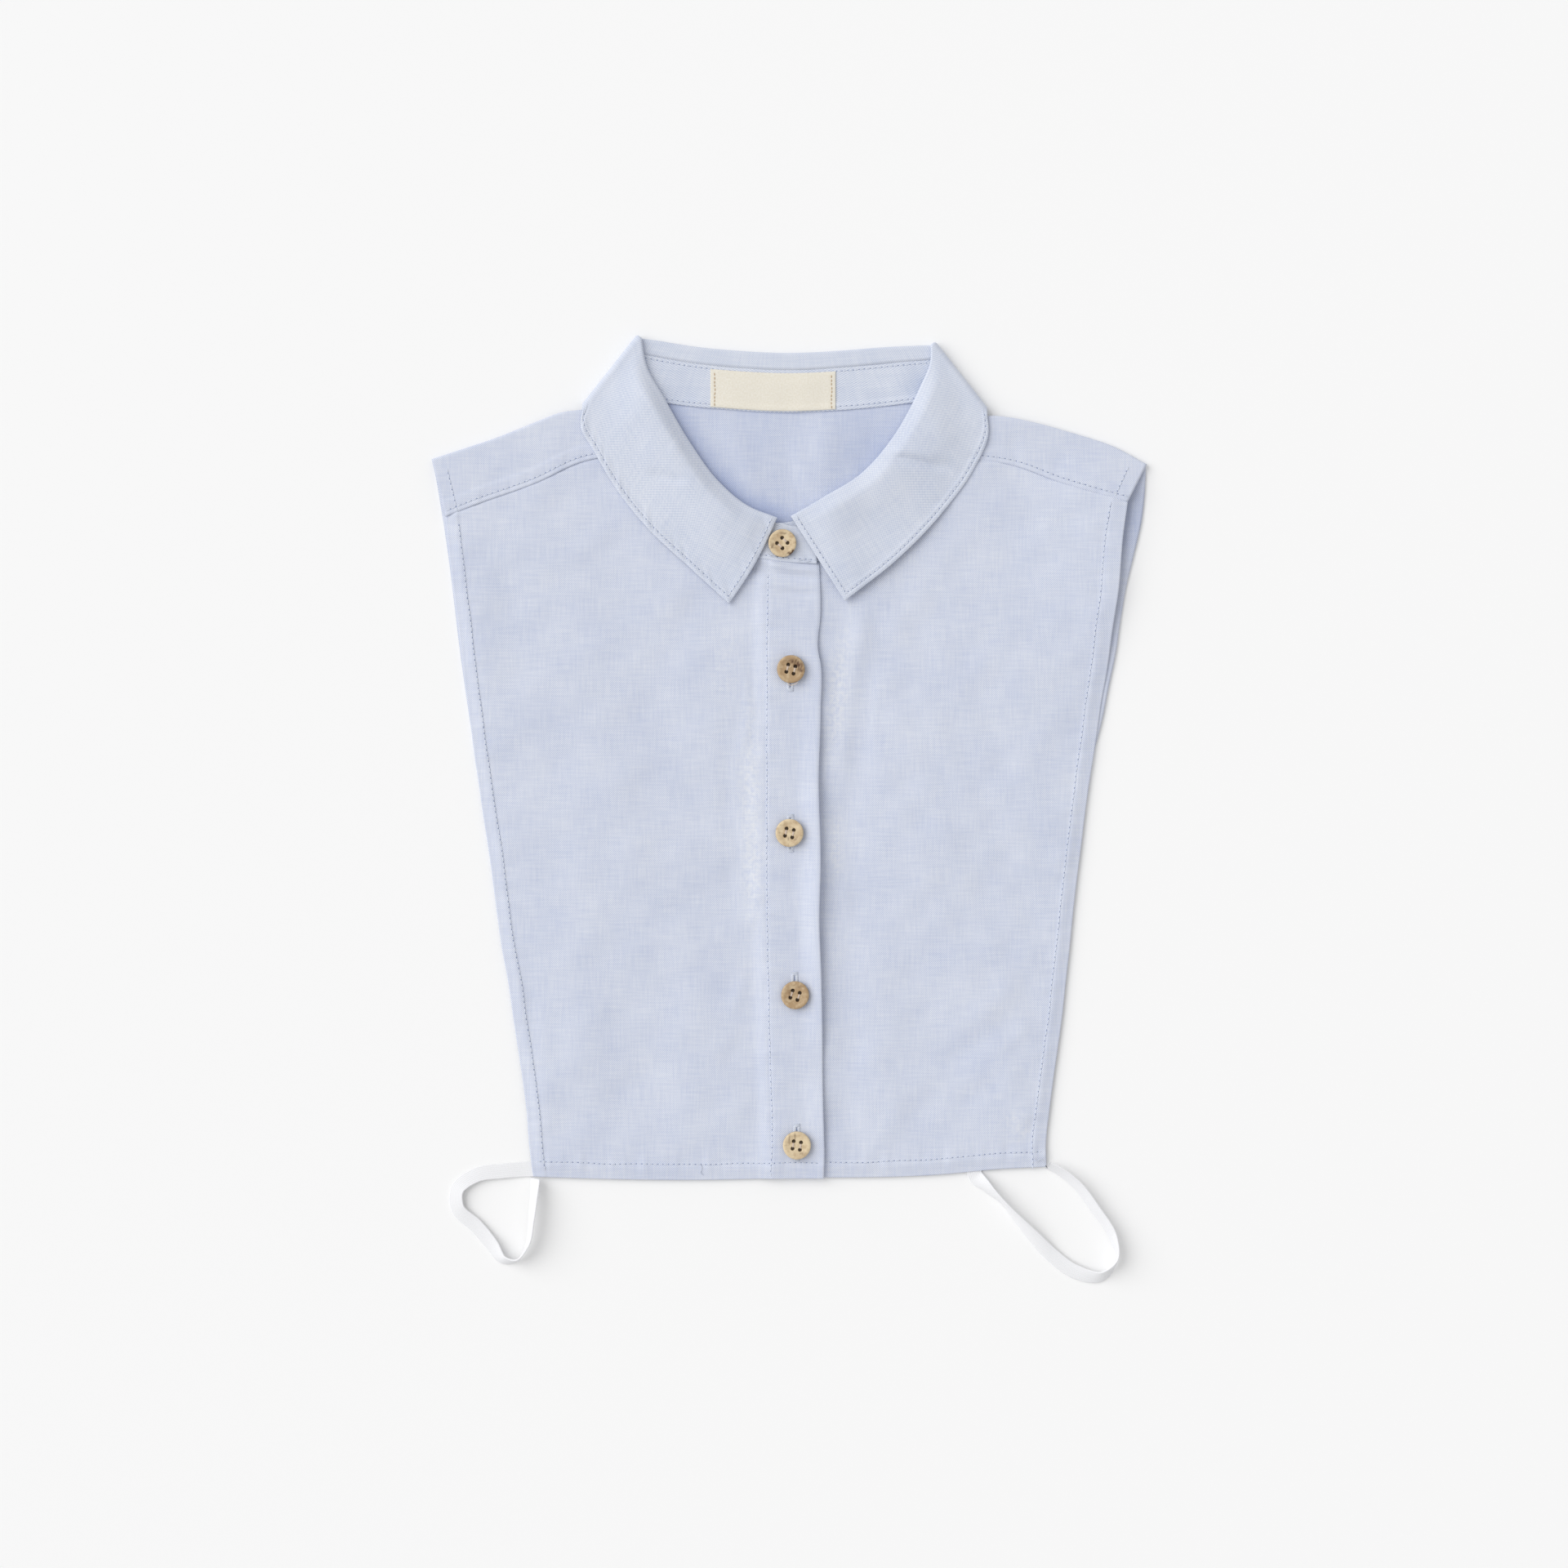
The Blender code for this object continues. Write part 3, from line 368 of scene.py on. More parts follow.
# How the layers lie on each other, as in the model
layers = {
    "step": 1.3,                 # from one layer of cloth to the next
    "fold": 0.65,                # middle radius of the tightest fold
    "top": 0.95,                 # a panel's upper skin above its layer's floor
    "ply": 0.6,                  # drawn thickness of one ply, twice the real one, so that its edges show
    "placketPly": 0.4,
    "fallEdgeBack": 146.0,       # Y of the fall's hidden edge, and how it climbs towards the shoulders
    "fallEdgeDrop": 15.6,
    "fallEdgeHalf": 84.6,
    "riseRamp": 32.0,
}
step = layers["step"]
swells = [                       # soft swells of the fronts: x, y, reach along x and y, height
    (-72, -18, 24, 52, 1.2), (-88, -96, 16, 26, 0.8), (-42, -104, 15, 30, 0.7), (-100, 52, 17, 26, 0.8),
    (62, -8, 24, 48, 1.2), (84, -98, 15, 24, 0.8), (40, -84, 13, 32, 0.6), (96, 54, 18, 24, 0.8),
]


def foldX(y):                                    # X of the placket's folded edge in the model
    return 12.1 + 2.3 * smooth((-40.0 - y) / 110.0)


def rise(x, y):                                  # lift of every panel over the fall's hidden leaf
    edge = layers["fallEdgeBack"] + layers["fallEdgeDrop"] * (x / layers["fallEdgeHalf"]) ** 2
    return step * smooth((y - edge + layers["riseRamp"]) / layers["riseRamp"])


def swell(x, y):
    total = sum(height * hump(x - cx, rx) * hump(y - cy, ry) for cx, cy, rx, ry, height in swells)
    return total * (1.0 - smooth((y - 58.0) / 24.0))


def overlap(x, y):                               # lift of the left front over the button band
    return step * (1.0 - smooth((foldX(y) - x - 22.0) / 6.0))


def leafLift(x, y):                              # lift of the collar leaves over the placket
    off = x - foldX(y)
    return (step + 0.4) * (1.0 - np.maximum(smooth((-off - 24.0) / 20.0), smooth((off - 2.0) / 20.0)))


# Outlines in the plan view
rollLeft = [(-4.9, 119.0), (-16.4, 123.6), (-29.2, 134.2), (-39.8, 148.6), (-51.0, 167.7), (-58.4, 181.5),
            (-60.3, 192.3)]
leafLeft = [(-24.7, 83.9), (-41.4, 99.2), (-56.8, 113.5), (-70.6, 130.5), (-79.7, 145.9), (-85.2, 156.5),
            (-84.6, 161.6)]
rollRight = [(0.3, 119.6), (14.1, 127.6), (29.6, 137.5), (41.2, 150.8), (52.8, 171.8), (57.2, 183.0),
             (57.4, 189.5)]
leafRight = [(22.4, 85.0), (44.0, 102.1), (63.9, 123.1), (74.9, 138.6), (81.0, 154.1), (80.5, 160.1)]
rollBack = [(-61.0, 191.4), (-54.7, 190.4), (-38.7, 187.8), (-20.0, 186.0), (0.0, 185.2), (20.0, 186.1),
            (40.0, 187.7), (58.0, 188.6)]
neckLeft = [(11.5, 99.8), (-4.9, 101.0), (-25.7, 105.5), (-49.0, 120.5), (-66.8, 143.8), (-74.3, 167.5)]
neckRight = [(-8.6, 101.0), (0.3, 100.4), (26.0, 104.5), (47.5, 119.5), (64.6, 143.0), (71.7, 167.0)]
neckBack = [(-74.3, 167.5), (-50.7, 165.2), (-33.0, 163.4), (0.0, 161.6), (25.0, 162.8), (49.3, 165.2),
            (71.7, 167.0)]
tabLeft = [(-6.2, 117.1), (-3.5, 116.9), (-0.4, 115.9), (3.0, 115.5), (8.5, 114.0), (11.2, 111.0)]
tabRight = [(1.6, 117.2), (-3.0, 117.0), (-8.6, 115.0)]
shoulderLeft = [(-146.1, 143.0), (-132.3, 147.5), (-119.5, 151.8), (-102.5, 158.5), (-93.0, 162.0),
                (-86.0, 162.9), (-82.5, 163.2), (-76.0, 167.2)]
shoulderRight = [(145.7, 140.9), (132.4, 148.0), (115.8, 153.5), (99.3, 158.0), (90.0, 159.9), (83.2, 160.6),
                 (79.0, 160.7), (73.2, 166.6)]
seamLeft = [(-140.4, 119.3), (-128.6, 124.0), (-103.1, 133.2), (-85.2, 141.4), (-67.25, 144.73)]
seamRight = [(137.6, 125.2), (124.7, 128.7), (110.3, 133.1), (92.6, 139.7), (64.81, 143.44)]
# armhole edges as the photograph shows them, with their small waves
sideLeft = [(-104.6, -149.6), (-106.3, -136.2), (-107.3, -122.8), (-109.0, -109.5), (-111.0, -96.2),
            (-113.0, -82.8), (-114.9, -69.5), (-117.4, -56.2), (-119.3, -42.8), (-121.0, -29.5), (-122.8, -16.2),
            (-124.9, -2.8), (-126.8, 10.5), (-128.8, 23.8), (-130.4, 37.2), (-132.3, 50.5), (-133.9, 63.8),
            (-135.4, 77.2), (-137.2, 90.5), (-138.8, 103.8), (-140.4, 119.3)]
sideRight = [(104.7, -145.6), (104.5, -136.2), (105.9, -122.8), (107.6, -109.5), (109.5, -96.2), (111.3, -82.8),
             (112.7, -69.5), (114.2, -56.2), (115.5, -42.8), (117.0, -29.5), (118.7, -16.2), (120.3, -2.8),
             (122.1, 10.5), (124.2, 23.8), (125.8, 34.9), (127.0, 43.4), (129.3, 56.4), (131.6, 74.0),
             (133.9, 89.3), (135.8, 112.2), (137.6, 125.2)]
sideBackLeft = [(-99.7, -147.3), (-112.0, -83.0), (-124.4, -3.0), (-134.3, 63.0), (-139.6, 106.0),
                (-145.4, 142.0)]
sideBackRight = [(82.0, -144.8), (103.0, -57.0), (122.6, 18.0), (127.6, 37.2), (130.2, 50.5), (133.0, 63.8),
                 (134.9, 77.2), (137.2, 90.5), (140.3, 103.8), (143.4, 117.2), (144.6, 127.0), (145.4, 139.8)]
hemLeft = [(-104.6, -149.6), (-78.4, -150.5), (-32.5, -150.9), (-8.0, -150.4), (14.6, -150.2)]
hemRight = [(-5.8, -149.6), (13.0, -149.9), (30.0, -149.9), (57.7, -149.0), (87.4, -146.4), (104.7, -145.6)]
hemBack = [(-99.7, -147.3), (-30.0, -147.0), (30.0, -146.2), (82.0, -144.8)]
# the placket's folded edge, with the small waves that it really has
foldEdge = [(13.9, -150.2), (14.2, -140.0), (14.0, -132.5), (13.5, -111.0), (13.4, -92.0), (12.9, -68.0),
            (12.1, -46.0), (12.6, -20.0), (11.8, 12.0), (12.6, 40.0), (12.4, 60.5), (11.6, 64.5), (12.5, 80.0),
            (12.1, 97.5), (11.9, 101.5)]
placketSeam = [(-7.7, -150.2), (-7.1, -132.8), (-7.6, -111.2), (-8.4, -82.2), (-9.1, -46.2), (-9.3, 0.0),
               (-9.2, 44.2), (-9.2, 64.2), (-8.6, 99.5), (-8.5, 103.0)]
edgeXLeft, edgeXRight = reader(sideLeft, 1), reader(sideRight, 1)
hemYLeft, hemYRight = reader(hemLeft), reader(hemRight)
foldXReal, placketX = reader(foldEdge, 1), reader(placketSeam, 1)


# Front panels
fronts = {
    "armholeHem": 5.3,           # stitch line's distance from the armhole edge
    "bottomHem": 6.4,
    "hemRise": 0.3,              # how much the doubled hem stands up
    "hemDrop": 0.95,             # how far the free edges come down to what lies under them
    "dip": 0.16,                 # depth of the cloth along a stitch line
    "pucker": 0.17,
    "puckerPitch": 9.0,
    "edgeStand": 2.9,            # how much the placket's folded edge stands off between its buttons
    "armholeStand": 2.3,         # and the right armhole's edge beside the open crescent of the back
    "lean": 0.45,                # fall of the placket towards its fold
    "valley": 0.85,              # how deep the right front lies beside the placket
    "mottle": 0.30,              # height of the soft unevenness all over
    "least": 1.35,               # least height over what lies two layers below
    "tuck": 1.3,                 # how far the top edge runs on under the seams
    "sink": 0.62,                # and how much lower it is there
    # creases: from x, y to x, y, bow, width, height
    "creasesLeft": [
        (-17, 58, -15, -60, 2.0, 3.0, 0.45), (-25, 60, -22, -66, -1.5, 3.6, -0.4),
        (-19, 60, -16, 34, 0.5, 1.3, 0.34), (-15, 44, -19, 20, -0.6, 1.1, 0.3), (-18, 26, -14, 2, 0.6, 1.3, 0.34),
        (-14, 8, -18, -16, 0.5, 1.1, 0.28), (-17, -10, -13, -34, -0.5, 1.2, 0.32), (-13, -30, -17, -52, 0.4, 1.2, 0.3),
        (-21, 48, -24, 18, 0.5, 1.2, -0.2), (-22, 4, -20, -30, -0.8, 1.3, -0.22),
        (-18, -62, -25, -86, 1.0, 3.0, 0.34), (-13, -84, -28, -108, -1.0, 3.5, -0.22),
        (-36, 96, -52, 66, 3.0, 6.0, -0.34), (-60, 108, -76, 74, 3.0, 7.0, -0.30),
        (-70, 120, -98, 96, 2.0, 5.0, 0.30), (-62, 40, -44, -40, -6.0, 9.0, -0.34),
        (-96, 20, -84, -60, 4.0, 9.0, 0.34), (-54, -48, -50, -96, 3.0, 8.0, -0.36),
        (-100, -70, -96, -140, -2.0, 5.0, 0.36), (-106, -50, -104, -120, -1.0, 3.6, -0.26),
        (-78, -112, -40, -132, -4.0, 7.0, -0.28), (-34, -96, -18, -136, 3.0, 6.0, 0.26),
        (-122, 110, -112, 60, 3.0, 6.0, -0.26), (-128, 96, -110, 20, -4.0, 8.0, 0.22),
    ],
    "creasesRight": [
        (42, 92, 28, -8, -3.0, 5.0, -0.42), (33, 98, 19, -14, -2.0, 4.0, 0.85), (21, -24, 23, -52, 1.0, 2.6, 0.42),
        (22, 62, 19, 26, 0.5, 1.3, 0.24), (19, 30, 17, 2, -0.4, 1.2, 0.22), (36, 60, 33, 20, 0.6, 1.8, 0.2),
        (60, 92, 50, 30, -2.0, 7.0, -0.3), (98, -78, 54, -106, 3.0, 4.5, -0.5), (96, -68, 58, -92, 3.0, 4.5, 0.34),
        (92, -104, 62, -122, 2.0, 4.5, -0.4), (98, -120, 90, -138, 0.5, 3.4, 0.4), (98, -86, 84, -100, 1, 2.6, 0.26),
        (30, -70, 24, -128, -2.0, 5.0, -0.3), (46, -110, 36, -140, 1.0, 5.0, 0.26),
        (106, 40, 96, -40, -4.0, 8.0, 0.3), (84, 70, 78, -20, 4.0, 9.0, -0.3), (104, 112, 122, 122, 1.0, 4.0, -0.34),
        (116, 112, 124, 60, 2.0, 5.0, 0.26), (88, 118, 120, 104, -2.0, 5.0, 0.24), (20, 84, 34, 66, 1, 4.0, 0.3),
    ],
    # places of painted sheen on the crinkled cloth beside the placket: from x, y to x, y, bow, width, strength
    "crinkleSheenLeft": [
        (-18, 72, -15, -74, 1.5, 4.4, 0.3), (-19, 34, -17, -52, 1.0, 3.6, 0.14), (-25, 80, -30, 40, 1.0, 7.0, 0.16),
    ],
    "crinkleSheenRight": [
        (22, 78, 17, 12, -1.0, 4.4, 0.3), (28, 96, 20, 20, -1.5, 3.6, 0.14), (19, 6, 19, -36, 0.0, 3.0, 0.3),
        (88, -120, 97, -138, 0.5, 5.0, 0.3),
    ],
    "creasesNeck": [             # the gathered fold just below the stand
        (-15, 102.4, 17, 96.4, -1.3, 1.1, 1.0), (-26, 101.8, 16, 94.2, -1.6, 1.5, -1.4), (-18, 102, -5, 98.5, 0, 1.4, -0.9),
    ],
    "creasesPlacket": [
        (-9, 91.0, 13, 89.6, 0.6, 1.8, 0.3), (-9, 88.4, 13, 86.6, 0.8, 1.6, -0.5), (-6, 82, 11, 79, 0.4, 2.6, 0.2),
        (-5, 72, 10, 66, 1.5, 3.2, 0.16), (-6, 40, 9, 32, 2.0, 4.0, -0.18), (-5, 22, 10, 14, -2.0, 3.6, 0.24),
        (0, -22, 1, -38, 0.6, 1.8, -0.24), (-6, -46, 10, -54, 2.0, 3.6, -0.18), (-5, -98, 11, -104, 2.0, 4.0, 0.18),
        (-4, -116, 10, -112, 1.5, 3.0, -0.16),
    ],
}


def hemRelief(d, along, wide, seed, fall=1.0):
    # a doubled band out to the edge, a dip along its stitch line, puckers that die away from it,
    # and an edge that rolls down to what lies below
    band = fronts["hemRise"] * (1.0 - smooth((d - wide + 0.3) / 1.1))
    dip = -fronts["dip"] * hump(d - wide, 0.7)
    ripples = fronts["pucker"] * uneven(along, fronts["puckerPitch"], seed) * hump(d - wide, 4.0) * smooth(d / 1.5)
    drop = -fronts["hemDrop"] * fall * (1.0 - smooth(d / 5.5)) - 0.22 * (1.0 - smooth(d / 0.35))
    return band + dip + ripples + drop


def armholeHem(y, left):                         # distance of the armhole's stitch line from its edge
    return fronts["armholeHem"] + (0.0 if left else 0.3 + 1.6 * smooth((y + 20.0) / 120.0))


def armholeStand(x, y):                          # how far the right shoulder's outer end stands off the back
    return fronts["armholeStand"] * smooth((x - 88.0) / 46.0) * smooth((y - 44.0) / 55.0)


def frontTop(x, y, left):
    # upper skin: the layer's floor and the ply, swells, creases and unevenness, hems, and the placket's step
    z = rise(x, y) + step + swell(x, y) + layers["top"]
    d = x - edgeXLeft(y) if left else edgeXRight(y) - x
    h = y - (hemYLeft(x) if left else hemYRight(x))
    quiet = smooth(d / 9.0) * smooth(h / 9.0)
    soft = fronts["mottle"] * (mottled(x, y, 46.0, 3 if left else 4) + 0.4 * mottled(x, y, 17.0, 5 if left else 6))
    fall = 1.0 if left else 1.0 - 0.8 * smooth((y - 50.0) / 40.0)
    z = z + hemRelief(d, y, armholeHem(y, left), 11 if left else 12, fall)
    z = z + hemRelief(h, x, fronts["bottomHem"], 13)
    if left:
        f = foldXReal(y) - x                     # distance from the folded edge
        fromSeam = x - placketX(y)
        onBand = smooth((fromSeam + 0.6) / 0.9)
        z = z + overlap(x, y) + layers["placketPly"] * onBand
        z = z - fronts["dip"] * hump(fromSeam, 0.6) + fronts["pucker"] * uneven(y, 8.0, 17) * hump(fromSeam, 3.6)
        z = z + creased(x, y, fronts["creasesLeft"]) * quiet * (1.0 - onBand)
        z = z + creased(x, y, fronts["creasesPlacket"]) * onBand + creased(x, y, fronts["creasesNeck"])
        stand = fronts["edgeStand"] * (0.16 + 0.8 * hump(y + 36.0, 62.0) + 0.14 * uneven(y, 62.0, 19))
        z = z + stand * smooth((101.0 - y) / 30.0) * (1.0 - smooth(f / 9.0)) - 0.28 * (1.0 - smooth(f / 0.5))
        z = z - fronts["lean"] * smooth(fromSeam / 13.0)
        soft = soft * (1.0 - 0.6 * onBand)
    else:
        valley = hump(x - foldXReal(y) - 10.0, 8.0) * smooth(h / 16.0) * smooth((100.0 - y) / 40.0)
        z = z + creased(x, y, fronts["creasesRight"]) * quiet + armholeStand(x, y)
        z = z - fronts["valley"] * (0.85 + 0.3 * uneven(y, 55.0, 29)) * valley
    floor = rise(x, y) + fronts["least"] + (overlap(x, y) if left else 0.0)
    z = z + soft * quiet
    return (z + floor + np.sqrt((z - floor) ** 2 + 0.04)) / 2


def frontGrid(left):
    # plan grid from the hem (row 0) to the top, and how far each point is from the top edge
    rows = steps((0, 0.9, 4), (0.9, 9, 11), (9, 236, 176), (236, 262, 36))
    topRows = np.array([6.0, 4.6, 3.4, 2.4, 1.7, 1.0, 0.45, 0.0])
    side, hem = (sideLeft, hemLeft) if left else (sideRight, hemRight)
    near = steps((0, 0.7, 3), (0.7, 4.5, 5), (4.5, 6.1, 5), (6.1, 9, 4))
    inner = steps((0, 0.8, 4), (0.8, 19.8, 18), (19.8, 22.6, 8), (22.6, 30, 6)) if left else steps((0, 20, 14))
    seam = curve(seamLeft if left else seamRight, np.linspace(0, 1, 300))
    neck = curve((neckLeft if left else neckRight), np.linspace(0, 1, 900))
    corner = np.argmin(np.linalg.norm(neck - seam[-1], axis=1))
    top = np.concatenate([seam[:-1], neck[:corner + 1][::-1]])
    normal = unit(np.gradient(top, axis=0))
    normal = np.stack([-normal[:, 1], normal[:, 0]], axis=1) * (1 if left else -1)
    top = top + normal * fronts["tuck"]
    length = np.concatenate([[0], np.cumsum(np.linalg.norm(np.diff(top, axis=0), axis=1))])
    foldTop = foldX(99.0) if left else foldX(99.0) - 20.2
    stop = np.interp(abs(top[0, 0] - foldTop), np.abs(top[:, 0] - top[0, 0]), length)
    tail = inner[::-1]
    lastAlong = np.interp(np.abs(foldTop - top[0, 0]) - tail, np.abs(top[:, 0] - top[0, 0]), length)
    middle = np.linspace(near[-1], lastAlong[0], 74)[1:-1]
    across = np.concatenate([near, middle, lastAlong])
    topLine = np.stack([np.interp(across, length, top[:, i]) for i in (0, 1)], axis=1)
    hemEnd = 14.4 if left else -5.8
    sign = 1 if left else -1
    hemX = np.concatenate([side[0][0] + sign * near,
                           np.linspace(side[0][0] + sign * near[-1], hemEnd - sign * tail[0], 74)[1:-1],
                           hemEnd - sign * tail])
    hemLine = np.stack([hemX, (hemYLeft if left else hemYRight)(hemX)], axis=1)
    sideTop = topLine[0]
    tall = sideTop[1] - side[0][1]
    share = np.concatenate([rows / tall, 1 - topRows / tall])
    fromTop = np.concatenate([tall - rows, topRows])
    outer = np.stack([np.interp(side[0][1] + share * (side[-1][1] - side[0][1]),
                                *np.array(curve(side, np.linspace(0, 1, 800)))[:, ::-1].T),
                      side[0][1] + share * tall], axis=1)
    outer[:, 0] = (edgeXLeft if left else edgeXRight)(outer[:, 1])
    innerY = hemLine[-1, 1] + share * (topLine[-1, 1] - hemLine[-1, 1])
    innerX = foldXReal(innerY) if left else foldX(innerY) - 20.2
    innerEdge = np.stack([innerX, innerY], axis=1)
    outer[0], outer[-1], innerEdge[0], innerEdge[-1] = hemLine[0], topLine[0], hemLine[-1], topLine[-1]
    plan = patch(hemLine, topLine, outer, innerEdge)
    return plan, fromTop[:, None]


def addFront(left):
    plan, fromTop = frontGrid(left)
    x, y = plan[..., 0], plan[..., 1]
    top = frontTop(x, y, left) - fronts["sink"] * (1.0 - smooth(fromTop / (fronts["tuck"] + 0.7)))
    d = x - edgeXLeft(y) if left else edgeXRight(y) - x
    h = y - (hemYLeft(x) if left else hemYRight(x))
    thick = layers["ply"] + 0.2 * (1.0 - smooth((np.minimum(d, h) - 5.0) / 1.5)) - 0.25 * (1.0 - smooth(d / 0.4))
    if left:
        thick = thick + 0.3 * smooth((x - placketX(y) + 0.6) / 0.9)
        thick = thick - 0.3 * (1.0 - smooth((foldXReal(y) - x) / 0.5))
    thick = thick - 0.2 * (1.0 - smooth(h / 0.4))
    name = "clothFrontLeft" if left else "clothFrontRight"
    onBand = smooth((x - placketX(y) + 0.6) / 0.9) if left else 0.0
    # painted sheen on the crinkled cloth, off the button band
    crinkleSheen = creased(x, y, fronts["crinkleSheenLeft" if left else "crinkleSheenRight"]) * (1.0 - onBand)
    piece = addGridShell(name, raised(plan, top), raised(plan, top - thick), bodyCloth, plan,
                         {"crinkleSheen": np.clip(crinkleSheen, 0.0, 1.0).ravel()})
    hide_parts("front_left" if left else "front_right")
    return piece


frontLeft, frontRight = addFront(True), addFront(False)
print("fronts")


# Back panel, whose shoulders fold forward over themselves to the forward shoulder seams
back = {
    "ply": 0.6,
    "foldOuter": 1.15,           # outer radius of the shoulder fold
    "seamAllowance": 6.0,        # the doubled strip above the forward seam
    "allowanceRise": 0.28,
    "columns": 74,               # along each shoulder
    "shade": 0.1,                # painted shade: how much less of the white weft shows inside the neck
    "leafShade": 0.26,           # and beside the left leaf
    "crescentShade": 0.22,       # and at the top of the open crescent at the right armhole
    "mottle": 0.12,
    "creases": [
        (-30, 162, -12, 124, 2.0, 5.0, 0.5), (-2, 162, 2, 122, -1.0, 4.5, -0.24), (15, 166, 8, 118, 2.0, 7.0, 1.0),
        (36, 162, 26, 130, 1.0, 4.5, -0.34), (-44, 156, -38, 138, 1.0, 4.0, -0.26), (0, 152, 8, 128, 1, 3.5, 0.3),
    ],
    "flapCreases": [
        (-122, 140, -112, 128, 1.0, 4.0, -0.2), (-100, 154, -92, 142, 1.0, 4.5, 0.2),
        (112, 148, 106, 136, 1.0, 4.0, -0.24), (128, 140, 122, 131, 0.5, 3.5, 0.18), (92, 156, 90, 142, 0.5, 3, -0.24),
    ],
}
backEdgeX = reader(sideBackRight, 1)


def backTop(x, y):
    # upper skin of the panel on the table: its ply, soft unevenness, and the right armhole's hem
    z = rise(x, y) + back["ply"] + back["mottle"] * (1 + mottled(x, y, 40.0, 21)) * smooth((y + 140) / 20)
    d = backEdgeX(y) - x
    z = z + 0.22 * (1.0 - smooth((d - 5.2) / 1.2)) - 0.12 * hump(d - 5.6, 0.7)
    return z + creased(x, y, back["creases"])


def shoulderBase(points, side, count):
    # middle of the shoulder fold: the outline drawn in by the fold's outer radius, and its outward normals
    line = curve(points, np.linspace(0, 1, count))
    along = unit(np.gradient(line, axis=0))
    normal = np.stack([-along[:, 1], along[:, 0]], axis=1) * side
    return line - normal * back["foldOuter"], normal


def flapTop(x, y, below):
    # upper skin of the folded-over strip: level above the fold, raised over the seam allowance, then rolled
    # into the seam; below is the distance from the seam
    z = rise(x, y) + 2 * back["foldOuter"]
    z = z + back["allowanceRise"] * (1.0 - smooth((below - back["seamAllowance"] + 1.0) / 2.0))
    z = z - 0.13 * hump(below - 2.1, 0.6) + 0.1 * uneven(x, 8.0, 23) * hump(below - 2.1, 3.0)
    z = z - 0.3 * (1.0 - smooth(below / 0.5))
    return z + creased(x, y, back["flapCreases"]) + 0.1 * mottled(x, y, 24.0, 25)


